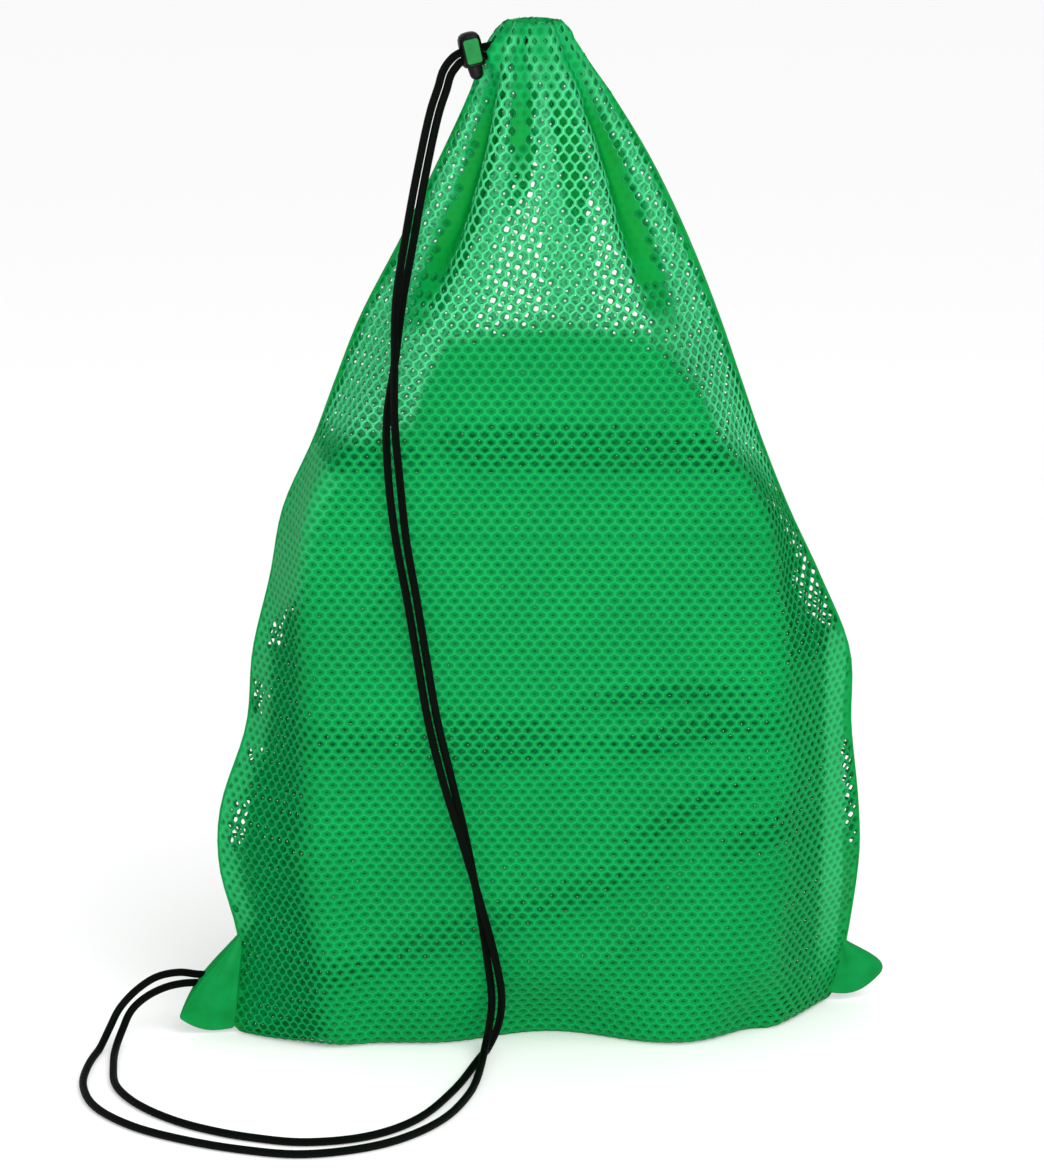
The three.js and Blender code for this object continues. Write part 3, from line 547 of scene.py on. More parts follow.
def gathered(side, share, z):
    """How far the gathers draw the cloth in, and how tightly it is bunched there, from 0 to 1."""
    held = 1 + (GATHER_AT_CASING - 1) * smoothstep(z, *GATHER_HELD)
    inward = np.zeros_like(share)
    bunched = np.zeros_like(share)
    for at, half, depth, fades in GATHERS[side]:
        opened = smoothstep(z, fades, fades + GATHER_OPENS)
        inward += depth * opened * held * bump_of((share - at) / half)
    for at, half, foot, full in BUNCHED[side]:
        wide = half * (BUNCH["foot"] + (1 - BUNCH["foot"]) * smoothstep(z, foot, full))
        band = smoothstep(bump_of((share - at) / wide), *BUNCH["edge"])
        closed = smoothstep(z, foot, foot + (full - foot) * BUNCH["closes"])
        bunched = np.maximum(bunched, band * closed)
    return inward, bunched


def front_folds(x, z):
    """Height of the pulls and folds of the front at points."""
    height = np.zeros_like(x)
    for at, rise, half, tall in FRONT_PULLS:
        height += tall * np.exp(-(((z - at - rise * x) / half) ** 2))
    for at_x, at_z, slope, half_length, half, tall in FRONT_FOLDS:
        c = math.cos(math.radians(slope))
        s = math.sin(math.radians(slope))
        along = (x - at_x) * c + (z - at_z) * s
        across = (z - at_z) * c - (x - at_x) * s
        height += tall * np.exp(-((across / half) ** 2)) * bump_of(along / half_length)
    return height


def front_relief(x, z):
    """Ridges, folds and hollows of the front at points x of one height."""
    height = front_folds(x, z)
    for at, half, deep, fades in FOOT_DENTS:
        height -= deep * (1 - smoothstep(z, 0, fades)) * bump_of((x - at) / half)
    return height


def sway_at(x, z):
    """How far the seams' sway moves a point to the back."""
    moved = np.zeros_like(x)
    for start, end, shift, fades in SEAM_SWAYS:
        moved += shift * (1 - smoothstep(z, 0, fades)) * smoothstep((x - start) / (end - start), 0, 1)
    return moved


def fine_pleat(share):
    """How deep the fine pleats are along one side, from 0 to 1."""
    phase = share * FINE_PLEATS["count"]
    for size, waves in PLEAT_SPACING:
        phase = phase + size * np.sin(waves * share)
    size, waves = PLEAT_DEPTH
    depth = 1 - size + size * np.sin(waves * share)
    margin = FINE_PLEATS["off_seam"]
    off_seam = smoothstep(share, 0, margin) * smoothstep(1 - share, 0, margin)
    return (1 + np.sin(2 * np.pi * phase)) / 2 * depth * off_seam


def across_side(side, z, count):
    """Points of one side at a height, evenly along the cloth: x and depth, how tightly it is bunched, and
    how square it lies to the front."""
    path, deep = section_path(side, z)
    points = evenly(path, count)[0]
    along = np.gradient(points, axis=0)
    along /= np.linalg.norm(along, axis=1)[:, None]
    share = np.linspace(0, 1, count + 1)
    inward, bunched = gathered(side, share, z)
    level = np.clip(points[:, 1] / deep, 0, 1)
    outward = front_relief(points[:, 0], z) * level**FOLDS_FADE if side == "front" else 0
    fine = smoothstep(z, *FINE_PLEATS["rise"]) * FINE_PLEATS["height"]
    fine += smoothstep(z, *FINE_PLEATS["hem"]) * (FINE_PLEATS["at_hem"] - FINE_PLEATS["height"])
    inward = inward + fine * fine_pleat(share)
    if side == "front":
        port = bump_of((share - CORD_PORT["share"]) / CORD_PORT["half_share"])
        inward = inward - CORD_PORT["out"] * port * bump_of((z - CORD_PORT["z"]) / CORD_PORT["half_height"])
    phase = 2 * np.pi * (z / SIDE_WAVES["length"] + SIDE_WAVES["lean"] * share)
    waves = np.sin(phase) * (1 - level) * level * 4
    inward = inward + SIDE_WAVES["height"] * waves * (1 - smoothstep(z, *SIDE_WAVES["end"]))
    depth = np.maximum(points[:, 1] + (outward - inward) * along[:, 0], LEAST_DEPTH)
    depth[[0, -1]] = 0
    shaped = np.stack([points[:, 0] + inward * along[:, 1], depth], 1)
    return evenly(shaped, count, bunched, smoothstep(level, *FACES_FRONT))


# Hem round the drawn mouth: height, and turn in to the throat, of rings from its foot over its crest and
# down inside
HEM_RINGS = np.array([
    (630, 0), (636, 0), (645, 0), (651, 0.08), (654.5, 0.3), (655.5, 0.55), (653, 0.85), (648, 1), (630, 1),
], float)
HEM_OUTSIDE_RINGS = 6
HEM_AROUND = 336
HEM_ROWS = 28
HEM_NET_TOP = 655.0
HEM_THICK = 0.9
# The hem lines the net up to these rings, and its pleats show from these
HEM_LINING = {"depth": 2.0, "ends": (3.3, 4.1)}
HEM_PLEATS = {"depth": 1.4, "start": (3, 5)}
THROAT = {"half_width": 10.5, "half_depth": 6.5, "x": 2}


def hem_turn(z):
    """How far the outside of the hem has turned in to the throat at a height."""
    outside = HEM_RINGS[:HEM_OUTSIDE_RINGS]
    return np.interp(z, outside[:, 0], outside[:, 1])


def to_throat(points, share):
    """Points round the mouth, moved by a share of their way to the throat."""
    middle = np.array((THROAT["x"], 0))
    half = np.array((THROAT["half_width"], THROAT["half_depth"]))
    off = (points - middle) / half
    angle = np.arctan2(off[:, 1], off[:, 0])
    throat = middle + half * np.stack([np.cos(angle), np.sin(angle)], 1)
    return points + (throat - points) * share


# Net: hexagonal cells in rows, each row set half a cell aside from the last
CELL_WIDTH = 7.7
ROW_STEP = 4.6
CELL_TIP = 3.2
CELL_FLANK = ROW_STEP - CELL_TIP
# Vertices this near each other are joined, and edges this short are dissolved
SAME_PLACE = 0.01
NO_LENGTH = 0.05
# Width and height of the holes: flat on the front and back, on folds that stand off them, down the sides,
# down the side that is drawn tight, drawn open above, drawn where the other net's yarns cross them, and
# below the mouth
HOLES = {
    "front": {"flat": (1.6, 1.3), "fold": (4.2, 3.6), "side": (5.6, 5.0), "fine_side": (3.6, 3.2),
              "drawn": (5.5, 5.6), "crossed": (5.5, 5.6), "mouth": (5, 5.6)},
    "back": {"flat": (0.7, 0.6), "fold": (0.7, 0.6), "side": (1.0, 0.9), "fine_side": (1.0, 0.9),
             "drawn": (4.3, 4.1), "crossed": (1.7, 1.5), "mouth": (1.3, 1.3)},
}
# Above a shoulder line the net hangs free up to the mouth: places across the bag, and heights there
SHOULDER = {"x": (-150, -129, -96, -74, -66, -52, 8, 68, 85, 104, 117, 142, 153),
            "height": (375, 402, 405, 414, 440, 466, 474, 470, 458, 438, 405, 380, 365)}
# Heights off that line between which the holes open and the net is painted pale, standing in for the light
# that comes through it. The back's lie lower, as the shoulder slopes down to the back.
HOLES_OPEN = {"front": (-14, 4), "back": (-32, -6)}
DRAWN_PAINTED_LIGHT = {"front": (-10, 8), "back": (-32, -6)}
HOLES_AT_MOUTH = (560, 600)
# The right side is drawn tight: right of these places across, and below these heights
FINE_SIDE = {"x": (-20, 20), "height": (248, 262)}
# Strands of the back where its drawn holes lie behind the front's: x and height of top and foot, half widths
# there. Their soft edge is in half widths, and their soft top is a share of their height.
OPEN_BEHIND = [((0, 590), (-12, 450), (2, 27)), ((33, 558), (62, 446), (2, 19))]
OPEN_EDGE = (0.7, 1.15)
OPEN_TOP = (0, 0.12)
OPEN_PAST_FOOT = 1.2
OPEN_BY_SEAM = {"off": 10, "half": 9, "share": 0.25}
# Height of a fold of the front that opens the holes on it
FOLD_OPENS = (0.9, 3.0)
# The back is taken as cut on the bias: the photograph shows no large bands where the two nets cross.
NET_TURN = {"front": 0, "back": 28}
# Thickness of a strand of the net, and the share of it at the rim of a hole
STRAND_THICK = 1.6
STRAND_EDGE_SHARE = 0.3
# Distances off the seams over which the holes open, and the share under which a hole stays closed
SEAM_MARGIN = (-0.5, 4.5)
CLOSED_BELOW = 0.22
# Towards the hem the holes close by a share, closed cells lie thinner and are painted darker, and the painted
# shade of bunched cloth is less
HEM_CLOSES = {"share": 0.25, "from": 600}
CLOSED_FULL = {"low": 0.85, "less": 0.35, "heights": (585, 620)}
HEM_BUNCHED_SHADE = {"less": 0.5, "heights": (585, 625)}
# Where the cloth goes from open to bunched, a few holes lie open among closed ones: size of this, and its
# waves across and up
MIXED = (0.9, 1.7, 2.3)
# Steps of the tables that hold a panel's form
TABLE_COLUMNS = 360
TABLE_STEP = 3.0
BEND_STEPS = 8
BASE_STEPS = 14
# The net is drawn taller and narrower where the mouth pulls on it.
DRAWN = {"from": 400, "to": 530, "taller": 1.18, "narrower": 0.92}
# Doubled cloth along the right seam: where its fold starts across the bag, where it ends, its foot and top.
# It is painted pale, standing in for the light it catches, and less so past its end.
SEAM_FOLD = {"start": (186, 191), "end": (200, 206), "foot": (14, 62), "top": (262, 274), "painted_light": 0.85,
             "less": 0.6}
# Doubled cloth along the left seam, painted pale for the light it catches: how far it reaches across the bag
# from the seam at heights up it
SEAM_STRIP = {"height": (55, 80, 285, 300, 378, 395), "reach": (-6, 13, 13, 20, 20, -6), "soft": 5,
              "painted_light": 0.8}
# Share by which doubled cloth closes the holes, how full its yarns stand at them, which also paints them
# lighter, and how much light is painted on it
DOUBLED_CLOSES = 0.7
DOUBLED_FULL = 0.65
DOUBLED_PAINTED_LIGHT = 1.15
# Places by the seams where both nets hang open: height, half height, distance across from the seam, half
# width. The back hangs open a little wider.
SEAM_WINDOWS = {
    "left": [(265, 16, 12, 5), (221, 17, 5, 5), (182, 7, 8, 4), (138, 22, 10, 4.5), (85, 9, 3, 3.5)],
    "right": [(155, 52, 4.5, 5), (283, 20, 10, 9), (325, 42, 3, 3.5)],
}
WINDOW_HOLES = (5.4, 5.2)
WINDOW_WIDER = {"front": 0, "back": 5}
WINDOW_EDGE = (0.05, 0.3)
WINDOW_OFF_SEAM = (1, 4)


def over_shoulder(x, z):
    """How far points lie above the line from which the net hangs free."""
    return z - np.interp(x, SHOULDER["x"], SHOULDER["height"])


def open_behind(x, z):
    """How far points lie in the strands where the holes of the two nets meet, from 0 to 1."""
    clear = np.zeros_like(x)
    for (top_x, top), (foot_x, foot), (narrow, wide) in OPEN_BEHIND:
        down = np.clip((top - z) / (top - foot), 0, OPEN_PAST_FOOT)
        half = narrow + (wide - narrow) * down
        off = np.abs(x - top_x - (foot_x - top_x) * down)
        strand = (1 - smoothstep(off / half, *OPEN_EDGE)) * smoothstep(down, *OPEN_TOP)
        clear = np.maximum(clear, strand)
    return clear


class PanelForm:
    """Where each point of one flat panel of cloth lies on the bag. The flat panel's axes are millimetres
    across, from the middle of the mouth, and up, from the floor."""

    def __init__(self, side):
        self.side = side
        self.facing = -1 if side == "front" else 1
        rows = []
        for z in np.arange(BASE_BEND, HEM_NET_TOP + 0.1, TABLE_STEP):
            points, bunched, square = across_side(side, z, TABLE_COLUMNS)
            points = to_throat(points, hem_turn(z))
            rows.append((z, points[:, 0], points[:, 1], np.full(len(points), z), bunched, square))
        rows = self.base_rows(rows[0]) + rows
        self.up = self.cloth_up(np.array([row[0] for row in rows]))
        x = np.stack([row[1] for row in rows])
        z = np.stack([row[3] for row in rows])
        depth = np.stack([row[2] for row in rows])
        sway = np.stack([sway_at(x[i], z[i]) for i in range(len(rows))])
        z = np.maximum(z, STRAND_THICK / 2)
        depth = np.maximum(depth - STRAND_THICK / 2, 0)
        self.bunched = np.stack([row[4] for row in rows])
        self.square = np.stack([row[5] for row in rows])
        self.points = np.stack([x, sway + self.facing * (SEAM_GAP + depth), z], 2)
        self.length = np.array([lengths_along(p)[-1] for p in self.points])
        self.left = self.length * np.array([self.middle_share(row) for row in x])

    @staticmethod
    def middle_share(x):
        """Share of a row's length where it crosses the line down from the middle of the mouth."""
        near = 0.3
        inner = np.arange(len(x))[(x > x[0] * near) & (x < x[-1] * near)]
        return np.interp(THROAT["x"], np.maximum.accumulate(x[inner]), inner) / (len(x) - 1)

    @staticmethod
    def base_rows(foot):
        """Rows from the seam across the base, round the bend and up to the wall's first row."""
        _, x, depth, _, bunched, square = foot
        deep = depth.max()
        middle = (x[0] + x[-1]) / 2
        half = (x[-1] - x[0]) / 2
        even = np.linspace(x[0], x[-1], len(x))
        bend_length = BASE_BEND * math.pi / 2
        flat_length = deep - BASE_BEND
        rows = []
        for share in np.arange(BASE_STEPS) / BASE_STEPS:
            tuck = BASE_BEND + (CORNER_TUCK - BASE_BEND) * (1 - share)
            across = x * share + even * (1 - share)
            low = BASE_BEND - bend_length - flat_length * (1 - share)
            rows.append((low, middle + (across - middle) * (1 - tuck / half),
                         depth * (1 - BASE_BEND / deep) * share, np.zeros(len(x)), bunched, square))
        for step in range(BEND_STEPS):
            angle = math.pi / 2 * (1 - step / BEND_STEPS)
            tuck = BASE_BEND * (1 - math.cos(angle))
            z = BASE_BEND * (1 - math.sin(angle))
            rows.append((BASE_BEND - BASE_BEND * angle, middle + (x - middle) * (1 - tuck / half),
                         depth * (1 - tuck / deep), np.full(len(x), z), bunched, square))
        return rows

    @staticmethod
    def cloth_up(z):
        """Height up the flat cloth of heights on the bag, where the top is drawn taller."""
        steps = np.arange(z.min(), z.max() + 1)
        stretch = 1 + (DRAWN["taller"] - 1) * smoothstep(steps, DRAWN["from"], DRAWN["to"])
        return np.interp(z, steps, steps[0] + np.concatenate(([0], np.cumsum(1 / stretch[:-1]))))

    def row_of(self, up):
        """Row of the tables, with its fraction, at heights up the flat cloth."""
        return np.interp(up, self.up, np.arange(len(self.up)))

    def narrowing(self, up):
        """Share of its own width that the cloth is drawn in to, at heights up it."""
        z = np.interp(up, self.up, self.points[:, 0, 2])
        return 1 + (DRAWN["narrower"] - 1) * smoothstep(z, DRAWN["from"], DRAWN["to"])

    def edges(self, up):
        """The panel's left and right seams on the flat cloth, at heights up it."""
        row = self.row_of(up)
        rows = np.arange(len(self.up))
        left = np.interp(row, rows, self.left)
        length = np.interp(row, rows, self.length)
        narrow = self.narrowing(up)
        return -left / narrow, (length - left) / narrow

    def sample(self, table, across, up):
        """Values of a table at points of the flat cloth."""
        row = self.row_of(up)
        rows = np.arange(len(self.up))
        off = across * self.narrowing(up) + np.interp(row, rows, self.left)
        share = off / np.interp(row, rows, self.length)
        place = np.clip(share, 0, 1) * TABLE_COLUMNS
        i = np.minimum(row.astype(int), len(self.up) - 2)
        j = np.minimum(place.astype(int), TABLE_COLUMNS - 1)
        a = row - i
        b = place - j
        if table.ndim == 3:
            a = a[:, None]
            b = b[:, None]
        return (table[i, j] * (1 - a) * (1 - b) + table[i, j + 1] * (1 - a) * b
                + table[i + 1, j] * a * (1 - b) + table[i + 1, j + 1] * a * b)

    def windows(self, row, seams):
        """How far points lie in the places by the seams where both nets hang open, from 0 to 1."""
        hangs = np.zeros_like(row)
        wider = WINDOW_WIDER[self.side]
        for seam, windows in SEAM_WINDOWS.items():
            for z, half_height, off, half_width in windows:
                near = bump_of((row - z) / (half_height + wider))
                near = near * bump_of((seams[seam] - off) / (half_width + wider))
                hangs = np.maximum(hangs, smoothstep(near, *WINDOW_EDGE))
        return hangs

    def doubled(self, x, row, off_left):
        """How far points lie in the doubled cloth along the seams, and how much light is painted on it, from
        0 to 1.
        """
        fold = np.zeros_like(x)
        if self.side == "front":
            fold = smoothstep(row, *SEAM_FOLD["foot"]) * (1 - smoothstep(row, *SEAM_FOLD["top"]))
            fold *= smoothstep(x, *SEAM_FOLD["start"])
        # Light painted on the doubled cloth, standing in for the light it catches
        painted_light = SEAM_FOLD["painted_light"] * fold * (1 - SEAM_FOLD["less"] * smoothstep(x, *SEAM_FOLD["end"]))
        past = off_left - np.interp(row, SEAM_STRIP["height"], SEAM_STRIP["reach"])
        strip = 1 - smoothstep(past, -SEAM_STRIP["soft"], SEAM_STRIP["soft"])
        return np.maximum(fold, strip), painted_light + SEAM_STRIP["painted_light"] * strip

    def holes(self, x, row, square, seams, hangs):
        """Full width and height of the holes at points."""
        drawn = smoothstep(over_shoulder(x, row), *HOLES_OPEN[self.side])
        mouth = smoothstep(row, *HOLES_AT_MOUTH)
        clear = open_behind(x, row)
        for off in seams.values():
            beside = bump_of((off - OPEN_BY_SEAM["off"]) / OPEN_BY_SEAM["half"])
            clear = np.maximum(clear, OPEN_BY_SEAM["share"] * beside)
        drawn_up = drawn * (1 - mouth)
        side = (1 - square) * (1 - drawn)
        flat = square * (1 - drawn)
        fine = smoothstep(x, *FINE_SIDE["x"]) * (1 - smoothstep(row, *FINE_SIDE["height"]))
        fold = smoothstep(front_folds(x, row), *FOLD_OPENS)
        shares = {"mouth": mouth, "drawn": drawn_up * clear, "crossed": drawn_up * (1 - clear),
                  "side": side * (1 - fine), "fine_side": side * fine,
                  "fold": flat * fold, "flat": flat * (1 - fold)}
        sizes = sum(np.outer(share * (1 - hangs), HOLES[self.side][lie]) for lie, share in shares.items())
        return sizes + np.outer(hangs, WINDOW_HOLES)

    def opening(self, across, up):
        """How open the net is, from 1 on plain cloth to 0 where it is bunched or sewn, its holes' full size,
        how much light is painted on it as doubled cloth, and how full its yarns stand where it is closed."""
        left, right = self.edges(up)
        x, _, row = self.sample(self.points, across, up).T
        seams = {"left": x - column("left", row), "right": column("right", row) - x}
        hangs = self.windows(row, seams)
        hangs *= smoothstep(np.minimum(across - left, right - across), *WINDOW_OFF_SEAM)
        doubled, painted_light = self.doubled(x, row, seams["left"])
        opened = 1 - self.sample(self.bunched, across, up)
        opened *= smoothstep(across - left, *SEAM_MARGIN)
        opened *= smoothstep(right - across, *SEAM_MARGIN)
        opened = np.maximum(opened, hangs)
        opened *= 1 - HEM_CLOSES["share"] * smoothstep(row, HEM_CLOSES["from"], PANEL_TOP)
        size, waves_across, waves_up = MIXED
        opened += size * opened * (1 - opened) * np.sin(waves_across * across) * np.sin(waves_up * up)
        opened *= 1 - DOUBLED_CLOSES * doubled * (1 - hangs)
        sizes = self.holes(x, row, self.sample(self.square, across, up), seams, hangs)
        full = CLOSED_FULL["low"] - CLOSED_FULL["less"] * smoothstep(row, *CLOSED_FULL["heights"])
        return opened, sizes, painted_light * (1 - hangs), full


def flat_net(name, reach, low, high, turn):
    """A flat field of hexagonal cells, turned by some degrees, as a bmesh in millimetres."""
    bm = bmesh.new()
    bmesh.ops.create_circle(bm, cap_ends=True, segments=6, radius=1)
    for vert in bm.verts:
        tip = abs(vert.co.x) < 0.1
        half_width, half_height = (0, CELL_TIP) if tip else (CELL_WIDTH / 2, CELL_FLANK)
        vert.co = (math.copysign(half_width, vert.co.x), math.copysign(half_height, vert.co.y), 0)
    first = bm.verts[:] + bm.edges[:] + bm.faces[:]
    second = bmesh.ops.duplicate(bm, geom=first)["geom"]
    moved = [part for part in second if isinstance(part, bmesh.types.BMVert)]
    bmesh.ops.translate(bm, verts=moved, vec=(CELL_WIDTH / 2, ROW_STEP, 0))
    c = abs(math.cos(math.radians(turn)))
    s = abs(math.sin(math.radians(turn)))
    middle = (low + high) / 2
    half = (high - low) / 2
    columns = 2 * math.ceil((reach * c + half * s) / CELL_WIDTH) + 2
    rows = 2 * math.ceil((reach * s + half * c) / (2 * ROW_STEP)) + 2
    bmesh.ops.translate(bm, verts=bm.verts, vec=(-CELL_WIDTH * (columns // 2), -ROW_STEP * rows, 0))
    field = linked(name, mesh_from(bm, name))
    for count, step in ((columns, (CELL_WIDTH, 0, 0)), (rows, (0, 2 * ROW_STEP, 0))):
        array = field.modifiers.new("cells", "ARRAY")
        array.count = count
        array.use_relative_offset = False
        array.use_constant_offset = True
        array.constant_offset_displace = step
        array.use_merge_vertices = True
        array.merge_threshold = SAME_PLACE
    bm = bmesh.new()
    bm.from_object(field, bpy.context.evaluated_depsgraph_get())
    bpy.data.objects.remove(field)
    bmesh.ops.remove_doubles(bm, verts=bm.verts, dist=SAME_PLACE)
    turned = Matrix.Rotation(math.radians(turn), 3, "Z")
    bmesh.ops.rotate(bm, verts=bm.verts, cent=(0, 0, 0), matrix=turned)
    bmesh.ops.translate(bm, verts=bm.verts, vec=(0, middle, 0))
    return bm


def flat_places(bm):
    """Places of the vertices of flat cloth."""
    return np.array([vert.co[:2] for vert in bm.verts])


def net_piece(name, form, low, high, material, node):
    """The net of one panel between two heights up the flat cloth, laid on the bag's form."""
    bottom, top = form.up[0], form.up[-1]
    left, right = form.edges(form.up)
    bm = flat_net(name, max(-left.min(), right.max()), bottom, top, NET_TURN[form.side])
    flat = flat_places(bm)
    start, end = form.edges(np.clip(flat[:, 1], bottom, top))
    inside = (flat[:, 0] > start) & (flat[:, 0] < end)
    bm.verts.index_update()
    outside = []
    for face in bm.faces:
        middle = face.calc_center_median().y
        if not low < middle <= high or not any(inside[v.index] for v in face.verts):
            outside.append(face)
    bmesh.ops.delete(bm, geom=outside, context="FACES")
    crest = bm.verts.layers.float.new("crest")
    layers = bm.verts.layers.float.new("layers")
    cells = bm.faces[:]
    centres = np.array([face.calc_center_median()[:2] for face in cells])
    opening = form.opening(centres[:, 0], np.clip(centres[:, 1], bottom, top))
    for vert in bm.verts:
        vert[crest] = 1.0
    bmesh.ops.inset_individual(bm, faces=cells, thickness=1.0)
    holes = []
    for face, centre, share, size, light, closed in zip(cells, centres, *opening):
        half = size / 2 * max(share, CLOSED_BELOW)
        for vert in face.verts:
            off = Vector((vert.co.x - centre[0], vert.co.y - centre[1])).normalized()
            vert.co = (centre[0] + off.x * half[0], centre[1] + off.y * half[1], 0)
            # Rims take the crest that sets their thickness and their painted light and shade; a cell's layers
            # value is raised where it is bunched, for painted shade, and lowered where it is doubled, for
            # painted light
            vert[crest] = DOUBLED_FULL * light if share > CLOSED_BELOW else closed
            vert[layers] = 1 - share - DOUBLED_PAINTED_LIGHT * light
        if share > CLOSED_BELOW:
            holes.append(face)
    bmesh.ops.delete(bm, geom=holes, context="FACES_ONLY")
    flat = flat_places(bm)
    up = np.clip(flat[:, 1], bottom, top)
    across = np.clip(flat[:, 0], *form.edges(up))
    for vert, x, y in zip(bm.verts, across, up):
        vert.co = (x, y, 0)
    bmesh.ops.dissolve_degenerate(bm, dist=NO_LENGTH, edges=bm.edges)
    area = sum(face.calc_area() for face in bm.faces) * MM**2
    size = (float(np.ptp(across)) * MM, float(np.ptp(up)) * MM)
    uv = bm.loops.layers.uv.new("cloth")
    for face in bm.faces:
        for loop in face.loops:
            loop[uv].uv = loop.vert.co.xy
    flat = flat_places(bm)
    spots = placed(form.sample(form.points, flat[:, 0], flat[:, 1]))
    for vert, spot in zip(bm.verts, spots):
        vert.co = spot
    heights = spots[:, 2] / MM
    # Net drawn free above the shoulder is painted paler, standing in for the light that comes through it
    drawn = smoothstep(over_shoulder(spots[:, 0] / MM + ORIGIN[0], heights), *DRAWN_PAINTED_LIGHT[form.side])
    # Painted light and shade: a strand between two cells takes the lie of the one that is furthest from plain
    # net.
    bunched = []
    for vert in bm.verts:
        around = [other[layers] for edge in vert.link_edges for other in edge.verts]
        bunched.append(max(around, key=abs))
    bunched = np.array(bunched) * (1 - HEM_BUNCHED_SHADE["less"] * smoothstep(heights, *HEM_BUNCHED_SHADE["heights"]))
    # The layers value picks the painted colour: towards 1 painted shade where bunched, 0.5 plain, towards 0
    # painted light where drawn or doubled
    for vert, share, near in zip(bm.verts, drawn, bunched):
        vert[layers] = 0.5 + 0.5 * near - 0.5 * share * (1 - near)
    if form.facing > 0:
        bmesh.ops.reverse_faces(bm, faces=bm.faces)
    thick = [vert[crest] for vert in bm.verts]
    net = new_piece(name, mesh_from(bm, name), material, "bag", [node])
    thicken(net, STRAND_THICK, 0, "crest", thick, STRAND_EDGE_SHARE)


# Row of cells above which a panel's upper piece starts
NET_SPLIT_ROW = 86


def make_net(material):
    for side in ("front", "back"):
        form = PanelForm(side)
        upper = side + "_net_upper"
        node = side + "_panel"
        low, high = form.up[0] - 1, form.up[-1] + ROW_STEP
        split = form.up[0] + ROW_STEP * (NET_SPLIT_ROW - 0.5)
        net_piece(upper, form, split, high, material, node)
        net_piece(side + "_net_lower", form, low, split, material, node)


def grid_bmesh(points):
    """A grid of faces whose vertices lie at the given rows of points."""
    rows, columns = points.shape[:2]
    bm = bmesh.new()
    bmesh.ops.create_grid(bm, x_segments=columns - 1, y_segments=rows - 1, size=1)
    bm.verts.index_update()
    for vert in bm.verts:
        j = round((vert.co.x + 1) / 2 * (columns - 1))
        i = round((vert.co.y + 1) / 2 * (rows - 1))
        vert.co = points[i, j]
    return bm


def make_hem(material):
    """The hem's folded cloth: it lines the net, rolls over it at the crest and goes down into the throat."""
    count = HEM_AROUND // 2
    pleat = fine_pleat(np.linspace(0, 1, count + 1))
    pleat = np.concatenate([pleat, pleat[::-1][1:]])
    points = []
    for step in np.linspace(0, len(HEM_RINGS) - 1, HEM_ROWS):
        z, turn = (np.interp(step, np.arange(len(HEM_RINGS)), HEM_RINGS[:, c]) for c in (0, 1))
        front = across_side("front", z, count)[0]
        back = across_side("back", z, count)[0][::-1]
        outside = np.concatenate([front * (1, -1), back[1:]])
        lining = HEM_LINING["depth"] * (1 - smoothstep(step, *HEM_LINING["ends"]))
        outside = outside * (1 - lining / np.linalg.norm(outside, axis=1))[:, None]
        dip = HEM_PLEATS["depth"] * pleat * smoothstep(step, *HEM_PLEATS["start"])
        points.append(np.column_stack([to_throat(outside, turn), z - dip]))
    points = placed(np.array(points))
    bm = grid_bmesh(points)
    bmesh.ops.remove_doubles(bm, verts=bm.verts, dist=SAME_PLACE * MM)
    bmesh.ops.recalc_face_normals(bm, faces=bm.faces)
    hem = new_piece("drawn_hem", mesh_from(bm, "drawn_hem"), material, "bag", ["casing"])
    thicken(hem, HEM_THICK, -1)


# Sewn corners at the foot of the side seams
CORNERS = {
    "left": {"turn": -1, "top": 66, "bottom": 3.2, "reach": 35, "full": 1.0, "lean": 6, "lift": 9,
             "thick": 9.4},
    "right": {"turn": 1, "top": 44, "bottom": 6, "reach": 36, "full": 1.2, "lean": -10, "lift": 12,
              "thick": 4.4},
}
CORNER_EDGE = 3.2
CORNER_ROOT = -2.0
CORNER_LEAST_REACH = 2
CORNER_SAG = 2
CORNER_ROWS = 22
CORNER_COLUMNS = 16
# Creases run down a corner: height, and half waves across it. It swells in the middle, less so outwards.
CORNER_CREASE = {"height": 0.9, "waves": 3.2}
CORNER_SWELL = {"ends": 1.15, "less": 0.3}


def seam_place(side, z):
    """Where a side seam is at a height: x, and y as it sways."""
    x = float(column(side, np.array(z)))
    return x, float(sway_at(np.array([x]), z)[0])


